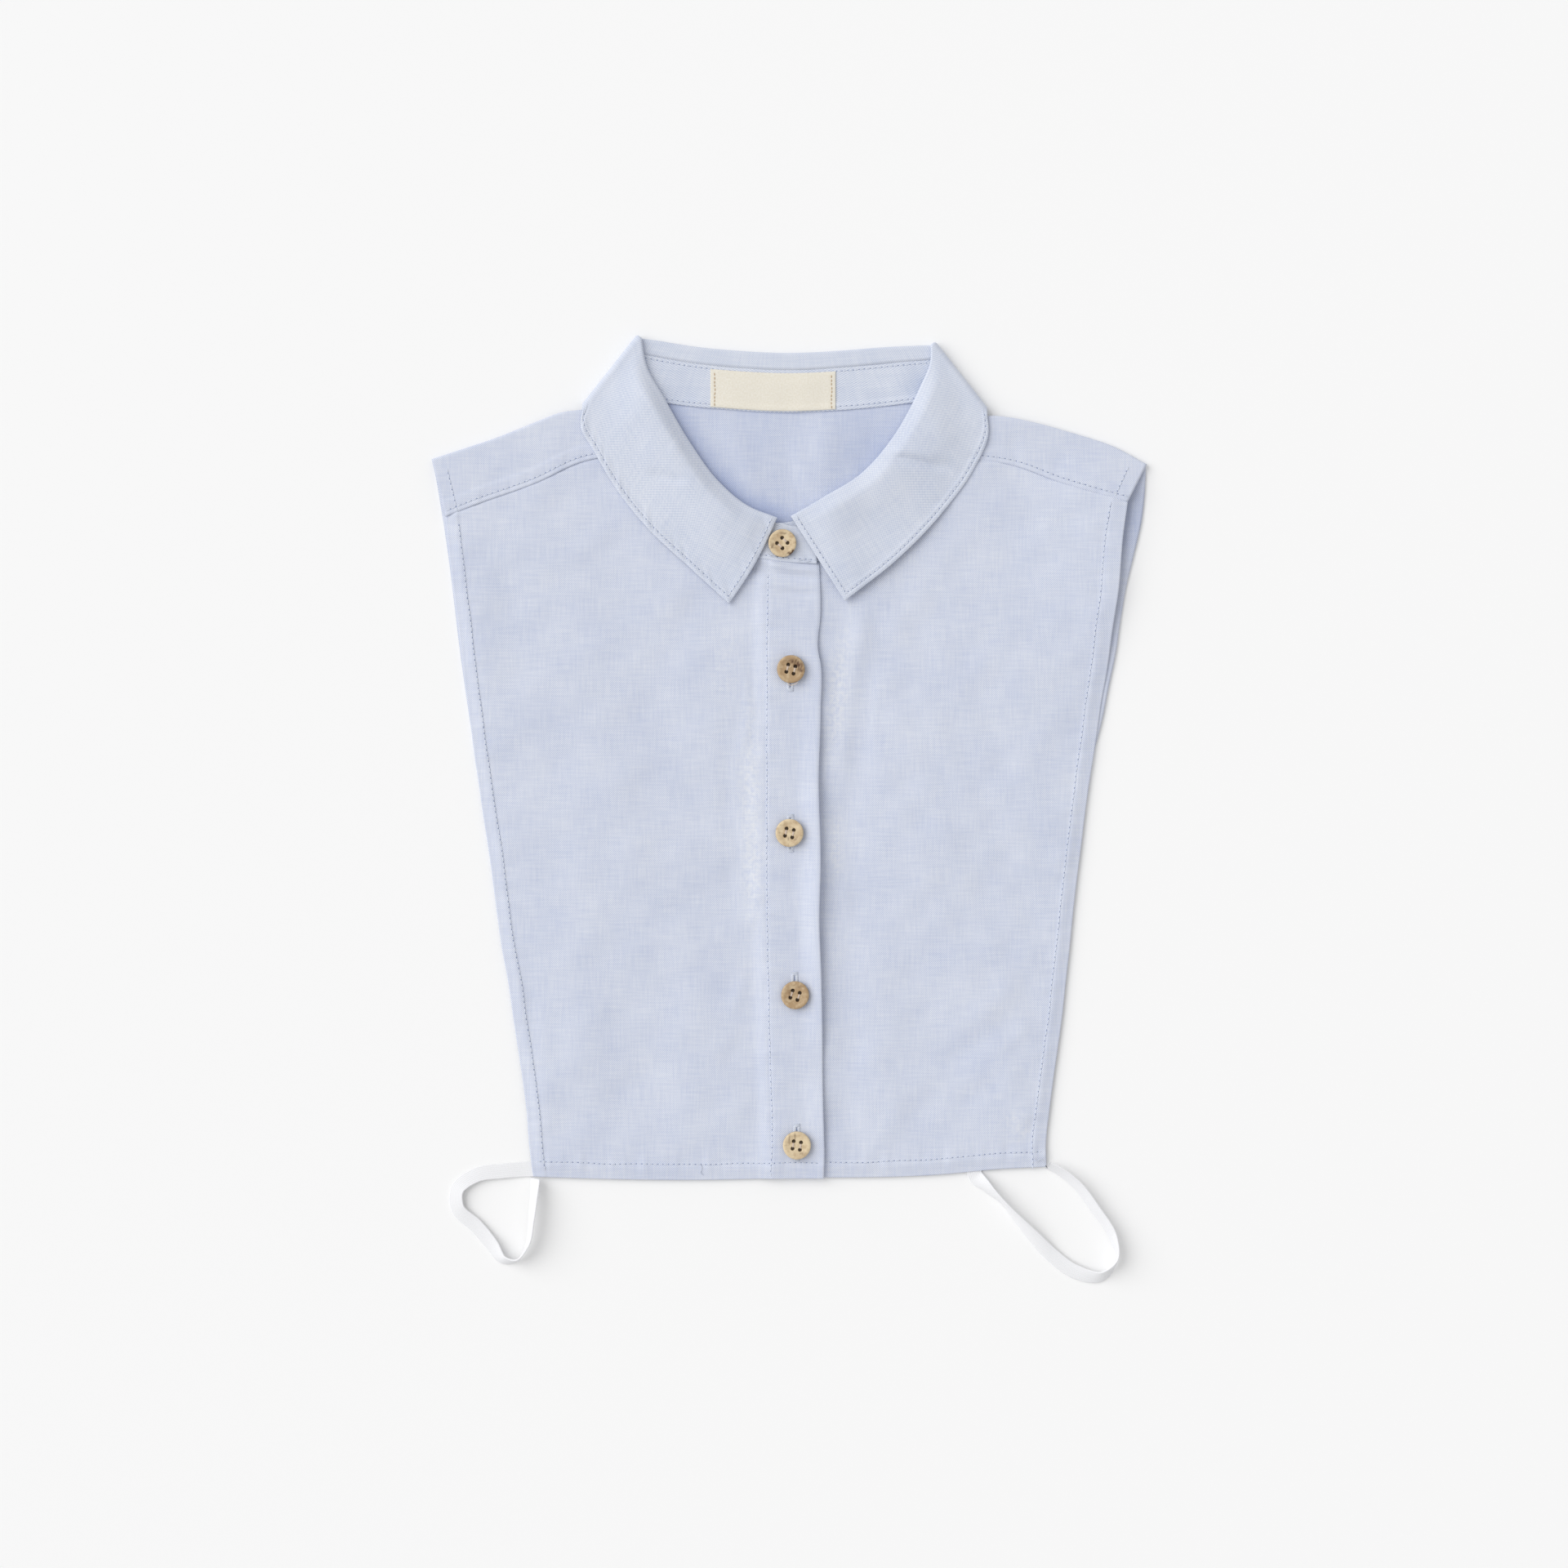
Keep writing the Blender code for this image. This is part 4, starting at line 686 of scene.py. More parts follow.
def addBack():
    count = back["columns"]
    leftBase, leftNormal = shoulderBase(shoulderLeft, 1.0, count)
    rightBase, rightNormal = shoulderBase(shoulderRight, -1.0, count)
    neckLine = curve(neckBack, np.linspace(0, 1, 122))[1:-1] + np.array([0.0, 1.3])
    top = np.concatenate([leftBase, neckLine, rightBase[::-1]])
    total = len(top)
    hemShare = np.interp(np.arange(total), [0, count - 1, count + len(neckLine), total - 1], [0.0, 0.3, 0.7, 1.0])
    rows = np.concatenate([np.linspace(0, 0.55, 30), np.linspace(0.56, 0.86, 50), np.linspace(0.865, 1, 34)])
    left, right = curve(sideBackLeft, rows), curve(sideBackRight, rows)
    left[-1], right[-1] = top[0], top[-1]
    plan = patch(curve(hemBack, hemShare), top, left, right)
    x, y = plan[..., 0], plan[..., 1]
    neckSide = np.linalg.norm(plan - top[None], axis=-1) / 1.9
    inNeck = ((np.arange(total) >= count) & (np.arange(total) < total - count))[None, :]
    upperZ = backTop(x, y) - np.where(inNeck, 0.25 * (1.0 - smooth(neckSide)), 0.0)
    foldRow = 2 * back["foldOuter"] - back["ply"]
    upperZ[-1] = np.where(inNeck[0], upperZ[-1], rise(x[-1], y[-1]) + back["ply"])
    lower = raised(plan, np.maximum(upperZ - back["ply"] - 0.25, rise(x, y))).reshape(-1, 3)
    upper = raised(plan, upperZ).reshape(-1, 3)
    grain = plan.reshape(-1, 2)
    index = np.arange(len(lower)).reshape(plan.shape[:2])
    quads = [gridQuads(index)]
    lines = {}
    for side, base, normal, seam, neck, first in (
            ("left", leftBase, leftNormal, seamLeft, [(-75.43, 166.2), (-72.15, 159.81), (-70.02, 152.1),
                                                      (-67.25, 145.03)], index[-1, :count]),
            ("right", rightBase, rightNormal, seamRight, [(72.4, 165.77), (69.63, 159.03), (67.58, 151.06),
                                                          (64.81, 143.74)], index[-1, -count:][::-1])):
        seamLine = curve(seam, np.linspace(0, 1, count)) + np.array([0.0, 0.15])
        share = np.concatenate([np.linspace(0, 0.6, 14), np.linspace(0.64, 0.93, 14), np.linspace(0.95, 1, 6)])
        flap = (1 - share)[:, None, None] * base[None] + share[:, None, None] * seamLine[None]
        necked = curve(neck, share)
        flap = flap + np.linspace(0, 1, count)[None, :, None] ** 6 * (necked - flap[:, -1])[:, None]
        tall = np.linalg.norm(flap[-1] - flap[0], axis=-1)
        below = (1 - share)[:, None] * tall[None]
        topZ = flapTop(flap[..., 0], flap[..., 1], below)
        if side == "right":
            topZ = topZ + armholeStand(flap[..., 0], flap[..., 1]) * smooth(share / 0.9)[:, None]
        blend = smooth(share / 0.2)[:, None]
        level = rise(flap[..., 0], flap[..., 1]) + 2 * back["foldOuter"]
        topZ = level + (topZ - level) * blend
        outer, inner = [], []
        lift = rise(base[:, 0], base[:, 1]) + back["foldOuter"]
        for turn in np.radians(np.linspace(0, 180, 13)[1:-1]):
            for points, radius in ((outer, back["foldOuter"]), (inner, back["foldOuter"] - back["ply"])):
                points.append(raised(base + normal * radius * math.sin(turn), lift - radius * math.cos(turn)))
        for row in range(len(share)):
            outer.append(raised(flap[row], topZ[row]))
            inner.append(raised(flap[row], topZ[row] - back["ply"]))
        start = len(lower)
        lower = np.concatenate([lower, np.concatenate(outer)])
        upper = np.concatenate([upper, np.concatenate(inner)])
        grain = np.concatenate([grain, np.concatenate(outer)[:, :2] + np.array([3.0, 7.0])])
        rows = np.concatenate([first[None], np.arange(start, len(lower)).reshape(-1, count)])
        quads.append(gridQuads(rows[:, ::-1] if side == "right" else rows))
        lines[side] = (flap, topZ, below)
    # painted shade: inside the neck the light is weaker than the even sky gives, most of all towards the right; less
    # white weft is painted there, beside the left leaf and at the top of the open crescent
    inside = smooth((lower[:, 1] - 100.0) / 14.0) * (1.0 - smooth((np.abs(lower[:, 0]) - 60.0) / 8.0))
    shade = back["shade"] * inside * (1.0 + smooth((lower[:, 0] - 6.0) / 28.0))
    fromLeaf = np.min([np.hypot(lower[:, 0] - px, lower[:, 1] - py)
                       for px, py in curve(rollLeft, np.linspace(0, 1, 70))], axis=0)
    deeper = 1.0 + 0.5 * smooth((142.0 - lower[:, 1]) / 16.0)
    shade = shade + back["leafShade"] * deeper * inside * (1.0 - smooth((fromLeaf - 0.5) / 8.5))
    shade = shade + back["crescentShade"] * hump(lower[:, 1] - 117.0, 15.0) * smooth((lower[:, 0] - 132.0) / 4.0)
    shade = shade * (np.arange(len(lower)) < plan[..., 0].size)
    piece = addShell("clothBack", upper, lower, np.concatenate(quads), bodyCloth, grain,
                     {"shade": shade})
    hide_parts("back")
    return piece, lines


backPiece, flapLines = addBack()
print("back")


# Collar: lines run across it, from the left front round the back to the right front
collar = {
    "frontLines": 96,            # across each front leaf
    "backLines": 60,
    "cornerLines": 11,           # round each side fold
    "seamBack": 6.0,             # seam of stand and fall below the roll, at the back and at the front ends
    "seamFront": 1.2,
    "thickness": 0.9,
    "crown": (4.6, 3.2),         # how much the left and the right leaf puff up beside their rolls
    "standOff": (0.5, 1.9),      # how much the left and the right leaf's outer edges stand off the fronts
    "edgeRise": 0.22,            # the turned-in allowances along a leaf's edge
    "edgeStitch": 2.1,
    "dip": 0.2,
    "pucker": 0.16,
    "mottle": 0.14,
    "bow": 1.1,                  # outward bow of the left leaf's front edge
    "fallTuck": 3.4,
    "standTuck": 1.3,
    "standLift": 0.55,           # the stand's lower edge lies on the panels' edges
    "creases": [
        (36, 143.7, 68, 137.6, 0.6, 1.7, -1.2), (35, 146.8, 66, 141.5, 1.2, 2.0, 0.9), (63, 136, 48, 120, 1, 4, 0.2),
        (-59, 138.2, -40, 133.0, -0.5, 1.8, -0.8), (-46, 139.8, -31, 138.2, 0.2, 1.2, -0.3),
        (-50, 143, -42, 150, 0.4, 2.2, 0.24), (-38, 126, -24, 112, 2.0, 6.0, 0.22), (-66, 160, -60, 142, 1, 5, -0.24),
        (-30, 104, -20, 96, 0.4, 3.0, -0.16), (36, 112, 24, 98, 1.0, 5.0, 0.2), (58, 160, 66, 146, -1, 5, 0.22),
        (66, 170, 72, 158, 0.6, 3.0, -0.2), (18, 124, 30, 108, 1.0, 5.0, -0.18),
    ],
}


def collarLines():
    front = np.concatenate([[0.0, 0.004, 0.012], np.linspace(0.024, 1.0, collar["frontLines"] - 3)])
    rollL, edgeL = curve(rollLeft, front), curve(leafLeft, front)
    rollR, edgeR = curve(rollRight, front), curve(leafRight, front)
    outer = layers["fold"] + 0.5
    baseL = rollL + unit(edgeL - rollL) * outer
    baseR = rollR + unit(edgeR - rollR) * outer
    backShare = np.linspace(0, 1, collar["backLines"])
    edgeBackX = np.linspace(edgeL[-1, 0], edgeR[-1, 0], collar["backLines"])
    edgeBackY = layers["fallEdgeBack"] + layers["fallEdgeDrop"] * (edgeBackX / layers["fallEdgeHalf"]) ** 2
    baseB = curve([tuple(baseL[-1])] + rollBack[1:-1] + [tuple(baseR[-1])], backShare)
    corner = collar["cornerLines"]
    base = np.concatenate([baseL, np.repeat(baseL[-1:], corner, axis=0), baseB,
                           np.repeat(baseR[-1:], corner, axis=0), baseR[::-1]])
    edge = np.concatenate([edgeL, np.repeat(edgeL[-1:], corner, axis=0), np.stack([edgeBackX, edgeBackY], axis=1),
                           np.repeat(edgeR[-1:], corner, axis=0), edgeR[::-1]])
    turns = np.radians(np.linspace(0, 180, corner + 2)[1:-1])
    n = len(front)
    turn = np.concatenate([np.zeros(n), turns, np.full(collar["backLines"], np.pi), turns[::-1], np.zeros(n)])
    seam = np.full(len(base), collar["seamBack"])
    seam[:n] = collar["seamFront"] + (collar["seamBack"] - collar["seamFront"]) * smooth(front / 0.7)
    seam[-n:] = seam[:n][::-1]
    place = np.zeros(len(base))                  # share of the front, 0 at its end and 1 at the side fold
    place[:n], place[-n:] = front, front[::-1]
    place[n:-n] = 1.0
    normal = np.zeros_like(base)
    for at, side in ((slice(n, n + corner), 1.0), (slice(-n - corner, -n), -1.0)):
        across = unit(edge[at] - base[at])
        normal[at] = np.stack([across[:, 1], -across[:, 0]], axis=1) * side
    return {"base": base, "edge": edge, "turn": turn, "seam": seam, "normal": normal, "place": place,
            "left": np.arange(len(base)) < len(base) // 2, "count": n, "corner": corner}


ring = collarLines()


def fallPoints(w, rho, top):
    # w is the distance down the leaf from the roll (rows by columns), rho the distance from the flattened
    # ring's middle; top says which skin carries the relief
    across = unit(ring["edge"] - ring["base"])
    width = np.linalg.norm(ring["edge"] - ring["base"], axis=1)[:, None]
    turn = ring["turn"][:, None]
    plan = ring["base"][:, None] + across[:, None] * w[..., None] + ring["normal"][:, None] * (
        rho * np.sin(turn))[..., None]
    front = ring["turn"] == 0.0
    place = ring["place"][:, None]
    outerLeaf = smooth((rho - layers["fold"] - 0.55) / 0.3)
    bow = np.where((front & ring["left"])[:, None], collar["bow"] * np.sin(np.pi * np.clip(w / width, 0, 1)) * (
        1.0 - smooth(place / 0.22)), 0.0)
    plan = plan + np.stack([bow, -0.6 * bow], axis=-1)
    x, y = plan[..., 0], plan[..., 1]
    lift = np.where(front[:, None], rise(x, y), step)
    inner = np.where((front & ring["left"])[:, None], overlap(x, y), 0.0)
    leaf = np.where(front[:, None], leafLift(x, y), 0.0)
    z = lift + layers["fold"] + 0.5 + rho * np.cos(turn) + inner + (leaf - inner) * outerLeaf
    fade = np.where(front[:, None], smooth((1.0 - place) / 0.25) * smooth(place / 0.14 + 0.3), 0.0)
    crown = np.where(ring["left"], *collar["crown"])[:, None] * smooth(place / 0.3 + 0.2)
    puff = crown * smooth((w + 2.5) / 8.5) * (1.0 - smooth((w - 6.0) / (width - 7.0)))
    off = np.where(ring["left"], *collar["standOff"])[:, None] * smooth((w / width - 0.4) / 0.6)
    z = z + outerLeaf * (puff + off * smooth((0.8 - place) / 0.7) * front[:, None]) * fade
    if top:
        along = np.concatenate([[0], np.cumsum(np.linalg.norm(np.diff(ring["edge"], axis=0), axis=1))])[:, None]
        fromEdge = width - w
        endWidth = place * np.linalg.norm(np.diff(ring["edge"][:ring["count"]], axis=0), axis=1).sum() * 0.95
        nearest = np.minimum(fromEdge, endWidth)
        onFront = np.where(front[:, None], outerLeaf, 0.0)
        z = z + onFront * (collar["edgeRise"] * (1.0 - smooth((nearest - 2.6) / 1.4))
                           - collar["dip"] * hump(nearest - collar["edgeStitch"], 0.55)
                           + collar["pucker"] * uneven(along + w, 7.0, 31) * hump(nearest - 2.1, 3.2)
                           - np.where(ring["left"], 0.42, 0.24)[:, None] * (1.0 - smooth(nearest / 0.95))
                           + creased(x, y, collar["creases"]) * smooth(nearest / 3.0)
                           + collar["mottle"] * mottled(x, y, 26.0, 33) * smooth(nearest / 4.0) * fade)
    return np.concatenate([plan, z[..., None]], axis=-1)


def fallColumns():
    width = np.linalg.norm(ring["edge"] - ring["base"], axis=1) - collar["fallTuck"] * np.sin(ring["turn"])
    leafShare = np.concatenate([np.linspace(0, 0.9, 44), np.linspace(0.912, 0.985, 11), [0.993, 1.0]])
    return width, leafShare


def addFall():
    width, leafShare = fallColumns()
    skins = []
    for offset in (-collar["thickness"] / 2, collar["thickness"] / 2):
        w = [ring["seam"] * part for part in (1.0, 0.75, 0.5, 0.25, 0.0)]
        rho = [np.full(len(width), layers["fold"] - offset)] * 5
        for roll in np.radians(np.linspace(0, 180, 13)[1:-1]):
            w.append(np.full(len(width), -(layers["fold"] + offset) * math.sin(roll)))
            rho.append(np.full(len(width), 2 * layers["fold"] - (layers["fold"] + offset) * math.cos(roll)))
        for part in leafShare:
            w.append(width * part)
            rho.append(np.full(len(width), layers["fold"] + step + offset))
        down = np.stack(w, axis=1)
        skins.append(fallPoints(down, np.stack(rho, axis=1), offset > 0))
    along = np.concatenate([[0], np.cumsum(np.linalg.norm(np.diff(ring["base"], axis=0), axis=1))])
    grain = np.stack([np.broadcast_to(along[:, None], down.shape), down], axis=-1)
    piece = addGridShell("clothFall", skins[1], skins[0], collarCloth, grain)
    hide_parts("collar_fall")
    return piece, skins[1], down


fallPiece, fallSkin, fallDown = addFall()
print("fall")


def standLines():
    # top and foot of the stand on every line, tabs at both ends, and the turn about the side folds
    n, corner = ring["count"], ring["corner"]
    across = unit(ring["edge"] - ring["base"])
    top = ring["base"] + across * ring["seam"][:, None]
    share = ring["place"][:n]
    startL = 16.4 / np.linalg.norm(np.diff(np.array(neckLeft), axis=0), axis=1).sum()
    startR = 8.9 / np.linalg.norm(np.diff(np.array(neckRight), axis=0), axis=1).sum()
    footL = curve(neckLeft, startL + (1 - startL) * share)
    footR = curve(neckRight, startR + (1 - startR) * share)
    footB = curve(neckBack, np.linspace(0, 1, collar["backLines"]))
    foot = np.concatenate([footL, np.repeat(footL[-1:], corner, axis=0), footB,
                           np.repeat(footR[-1:], corner, axis=0), footR[::-1]])
    number = np.abs(np.arange(len(foot)) - (n + (corner - 1) / 2))
    number = np.minimum(number, number[::-1])
    short = 0.3 + collar["standTuck"] * (1.0 - smooth((number - corner / 2) / 14.0))
    foot = foot - unit(foot - top) * short[:, None]
    xL = np.linspace(11.1, -3.4, 22)
    xR = np.linspace(-1.6, -8.4, 10)
    tabTopL = np.stack([xL, reader(tabLeft)(xL)], axis=1)
    tabFootL = np.stack([xL, reader(neckLeft[:-1])(xL) + 0.3], axis=1)
    tabTopR = np.stack([xR, reader(tabRight)(xR)], axis=1)
    tabFootR = np.stack([xR, reader(neckRight[:-1])(xR) + 0.3], axis=1)
    top = np.concatenate([tabTopL, top, tabTopR])
    foot = np.concatenate([tabFootL, foot, tabFootR])
    turn = np.concatenate([np.zeros(len(xL)), ring["turn"], np.zeros(len(xR))])
    normal = np.concatenate([np.zeros_like(tabTopL), ring["normal"], np.zeros_like(tabTopR)])
    middle = len(xL) + len(ring["base"]) // 2
    return top, foot, turn, normal, np.arange(len(top)) < middle


standTop, standFoot, standTurn, standNormal, standLeft = standLines()
standTall = np.linalg.norm(standFoot - standTop, axis=1)


def standPoints(fromFoot, rho):
    # fromFoot is the distance above the neck seam, lines by columns; the upper skin carries the relief
    share = 1.0 - fromFoot / standTall[:, None]
    plan = (standTop[:, None] * (1 - share)[..., None] + standFoot[:, None] * share[..., None]
            + standNormal[:, None] * rho * np.sin(standTurn)[:, None, None])
    x, y = plan[..., 0], plan[..., 1]
    front = (standTurn == 0.0)[:, None]
    flat = np.where(front | (standTurn == np.pi)[:, None], 1.0, 0.0)
    z = np.where(front, rise(x, y), step) + np.where(front & standLeft[:, None], overlap(x, y), 0.0)
    z = z + layers["fold"] + 0.5 + rho * np.cos(standTurn)[:, None]
    z = z + collar["standLift"] * (1.0 - smooth((fromFoot - 1.2) / 2.6)) * flat
    if (rho - layers["fold"]) != 0:
        shows = flat * ((rho - layers["fold"]) * np.cos(standTurn)[:, None] > 0)
        fromTop = standTall[:, None] - fromFoot
        z = z + shows * (-0.14 * hump(fromFoot - 1.6, 0.5) - 0.12 * hump(fromTop - 1.4, 0.5)
                        + 0.1 * uneven(x + y, 8.0, 41) * hump(fromFoot - 1.6, 3.0)
                        - 0.2 * (1.0 - smooth(fromFoot / 0.4)) - 0.06 * (1.0 - smooth(fromTop / 0.5))
                        + 0.12 * mottled(x, y, 22.0, 43))
    return np.concatenate([plan, z[..., None]], axis=-1)


def addStand():
    across = np.concatenate([[0, 0.25], np.linspace(0.6, 4.2, 10)])
    share = np.linspace(0, 1, 22)[1:]
    skins = []
    for offset in (-0.45, 0.45):
        fromFoot = np.concatenate([np.broadcast_to(across, (len(standTall), len(across))),
                                   across[-1] + (standTall[:, None] - across[-1]) * share[None]], axis=1)
        skins.append(standPoints(fromFoot, layers["fold"] - offset))
    grain = np.stack([np.broadcast_to(np.arange(len(standTall))[:, None] * 1.1, fromFoot.shape), fromFoot], axis=-1)
    x, y = skins[0][..., 0], skins[0][..., 1]
    # painted shade on the stand: beside the right leaf's fold and, weaker, at the back on the left under the left roll
    shade = 0.26 * hump(np.hypot(x - 52.5, y - 172.0), 6.0) + 0.12 * hump(np.hypot(x + 43.0, y - 170.0), 9.0)
    piece = addGridShell("clothStand", skins[0], skins[1], collarCloth, grain,
                         {"shade": shade.ravel()})
    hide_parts("collar_stand")
    return piece


standPiece = addStand()
print("stand")


# Bare woven label on the inside of the stand's back, sewn down at both ends
label = {
    "left": -32.3,
    "right": 18.7,
    "above": 0.8,                # its lower edge above the neck seam
    "tall": 15.5,
    "thick": 0.45,
    "ends": 1.7,                 # its stitch lines' distance from the ends
    "columns": 86,
    "rows": 34,
}
neckBackY = reader(neckBack)


def labelTop(x, y):
    # the stand's upper skin and the label's ply, dipped at the sewn ends and lightly puffed between them
    fromFoot = y - neckBackY(x) - 0.3
    z = 2.33 + collar["standLift"] * (1.0 - smooth((fromFoot - 1.2) / 2.6)) + label["thick"]
    ends = np.minimum(x - label["left"], label["right"] - x)
    z = z + 0.3 * smooth((ends - label["ends"]) / 8.0) * smooth(fromFoot / 5.0) * smooth((label["tall"] - fromFoot) / 5)
    z = z + 0.07 * mottled(x, y, 13.0, 51) - 0.1 * hump(ends - label["ends"], 0.5)
    edge = np.minimum(np.minimum(ends, fromFoot - 0.5), label["tall"] + 0.5 - fromFoot)
    return z - 0.16 * (1.0 - smooth(edge / 0.6))


def wovenCotton():
    # plain weave in cream with a fine rib across, drawn at 0.7 mm where the real threads are 0.2 mm apart
    material, tree, shader = newMaterial("woven cotton label", Roughness=0.8)
    shader.inputs["Sheen Weight"].default_value = 0.1
    flat = addNode(tree, "ShaderNodeUVMap", {"uv_map": "grain"})
    inMm = addNode(tree, "ShaderNodeVectorMath", {"operation": "SCALE"}, {"Scale": 1000.0}, {0: flat.outputs[0]})
    both = addNode(tree, "ShaderNodeSeparateXYZ", None, None, {0: inMm.outputs[0]})
    waves = []
    for axis, pitch in ((0, 0.7), (1, 0.6)):
        turned = addNode(tree, "ShaderNodeMath", {"operation": "MULTIPLY"}, {1: 2 * math.pi / pitch},
                         {0: both.outputs[axis]})
        waves.append(addNode(tree, "ShaderNodeMath", {"operation": "SINE"}, None, {0: turned.outputs[0]}).outputs[0])
    knots = addNode(tree, "ShaderNodeMath", {"operation": "MULTIPLY"}, None, {0: waves[0], 1: waves[1]})
    slub = addNode(tree, "ShaderNodeTexNoise", {"noise_dimensions": "2D"}, {"Scale": 1.4, "Detail": 2.0},
                   {"Vector": inMm.outputs[0]})
    mixed = addNode(tree, "ShaderNodeMath", {"operation": "MULTIPLY_ADD"}, {1: 0.14}, {0: knots.outputs[0],
                                                                                     2: slub.outputs["Fac"]})
    tint = addNode(tree, "ShaderNodeMix", {"data_type": "RGBA"}, {"A": linear("dfd8c6"), "B": linear("f1ede4")},
                   {"Factor": mixed.outputs[0]})
    tree.links.new(tint.outputs["Result"], shader.inputs["Base Color"])
    bump = addNode(tree, "ShaderNodeBump", None, {"Strength": 0.4, "Distance": 0.00006},
                   {"Height": knots.outputs[0]})
    tree.links.new(bump.outputs[0], shader.inputs["Normal"])
    return material


def addLabel():
    x = np.linspace(label["left"], label["right"], label["columns"])
    x[[1, -2]] = x[0] + 0.25, x[-1] - 0.25
    up = np.linspace(0, 1, label["rows"])
    up[[1, -2]] = 0.02, 0.98
    plan = np.stack(np.meshgrid(x, up), axis=-1)
    plan[..., 1] = neckBackY(plan[..., 0]) + label["above"] + label["tall"] * plan[..., 1]
    top = labelTop(plan[..., 0], plan[..., 1])
    piece = addGridShell("wovenLabel", raised(plan, top), raised(plan, top - label["thick"]), wovenCotton(),
                         plan)
    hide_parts("label")
    return piece


labelPiece = addLabel()
print("label")


# Turned shell buttons with four holes and two bars of thread
button = {
    # x, y, height of the underside, turn, and how pale the shell is
    "places": [(-3.0, 108.5, 3.9, 47.0, 0.06), (0.5, 57.2, 4.3, -14.0, -0.16), (-0.1, -9.4, 4.3, -12.0, 0.1),
               (2.2, -75.4, 4.3, -18.0, -0.15), (2.9, -136.5, 4.3, -9.0, 0.14)],
    "radius": 5.7,
    "tall": 2.25,
    "dish": 0.24,
    "hole": 1.5,                 # the holes' distance from the middle, each way
    "holeRadius": 0.74,
    "holeDepth": 1.5,
    "sides": 112,
    "strand": 0.24,
    "strandHalf": 1.0,
    # marks in the shell: button, x, y from its middle in the picture, reach along x and y, strength
    "marks": [
        (0, 3.3, -4.3, 1.3, 0.6, 1.0), (0, 4.3, -3.2, 0.6, 0.6, 0.8), (0, -4.1, -1.4, 0.9, 1.5, 0.4),
        (0, 0.5, 4.0, 1.5, 0.5, 0.35), (1, 3.2, 1.4, 2.0, 1.5, 0.7), (1, 0.7, 3.2, 2.3, 0.8, 0.7),
        (1, 4.1, -0.5, 1.0, 0.7, 0.6), (2, -0.5, -3.3, 0.3, 1.5, 0.4), (2, 2.3, -2.7, 1.1, 0.45, 0.25),
        (3, -2.3, 0.7, 0.8, 1.8, 0.35), (3, 2.0, 3.4, 1.4, 0.5, 0.3), (4, -3.0, 2.3, 0.35, 2.0, 0.55),
        (4, -0.8, 3.7, 0.3, 1.4, 0.6), (4, 2.2, -3.2, 1.3, 0.6, 0.3),
    ],
}


def coconutShell():
    # tan shell with fine brown flecks and short fibres, with painted shade in the holes and down the side towards the
    # table, and darker where it is marked
    material, tree, shader = newMaterial("coconut shell", Roughness=0.42)
    shader.inputs["Specular IOR Level"].default_value = 0.45
    place = addNode(tree, "ShaderNodeTexCoord")
    long = addNode(tree, "ShaderNodeMapping", None, {"Rotation": (0, 0, 0.9), "Scale": (420, 1900, 900)},
                   {0: place.outputs["Object"]})
    fibres = addNode(tree, "ShaderNodeTexNoise", None, {"Scale": 1.0, "Detail": 4.0, "Roughness": 0.65,
                                                        "Distortion": 0.6}, {"Vector": long.outputs[0]})
    clouds = addNode(tree, "ShaderNodeTexNoise", None, {"Scale": 330.0, "Detail": 3.0, "Roughness": 0.6},
                     {"Vector": place.outputs["Object"]})
    pale = addNode(tree, "ShaderNodeAttribute", {"attribute_name": "pale"})
    cloud = addNode(tree, "ShaderNodeMath", {"operation": "ADD"}, None,
                    {0: clouds.outputs["Fac"], 1: pale.outputs["Fac"]})
    ground = addNode(tree, "ShaderNodeValToRGB", None, None, {0: cloud.outputs[0]})
    ramp = ground.color_ramp
    ramp.elements[0].position, ramp.elements[0].color = 0.3, linear("b0936f")
    ramp.elements[1].position, ramp.elements[1].color = 0.68, linear("dfcba8")
    dark = addNode(tree, "ShaderNodeMapRange", None, {"From Min": 0.56, "From Max": 0.72, "To Max": 0.5},
                   {"Value": fibres.outputs["Fac"]})
    flecked = addNode(tree, "ShaderNodeMix", {"data_type": "RGBA"}, {"B": linear("8a6b4a")},
                      {"Factor": dark.outputs[0], "A": ground.outputs[0]})
    stain = addNode(tree, "ShaderNodeAttribute", {"attribute_name": "stain"})
    stained = addNode(tree, "ShaderNodeMix", {"data_type": "RGBA"}, {"B": linear("5a3d28")},
                      {"Factor": stain.outputs["Fac"], "A": flecked.outputs["Result"]})
    shade = addNode(tree, "ShaderNodeAttribute", {"attribute_name": "shade"})
    shaded = addNode(tree, "ShaderNodeMix", {"data_type": "RGBA"}, {"B": linear("3d2b20")},
                     {"Factor": shade.outputs["Fac"], "A": stained.outputs["Result"]})
    tree.links.new(shaded.outputs["Result"], shader.inputs["Base Color"])
    bump = addNode(tree, "ShaderNodeBump", None, {"Strength": 0.3, "Distance": 0.00008},
                   {"Height": fibres.outputs["Fac"]})
    tree.links.new(bump.outputs[0], shader.inputs["Normal"])
    return material


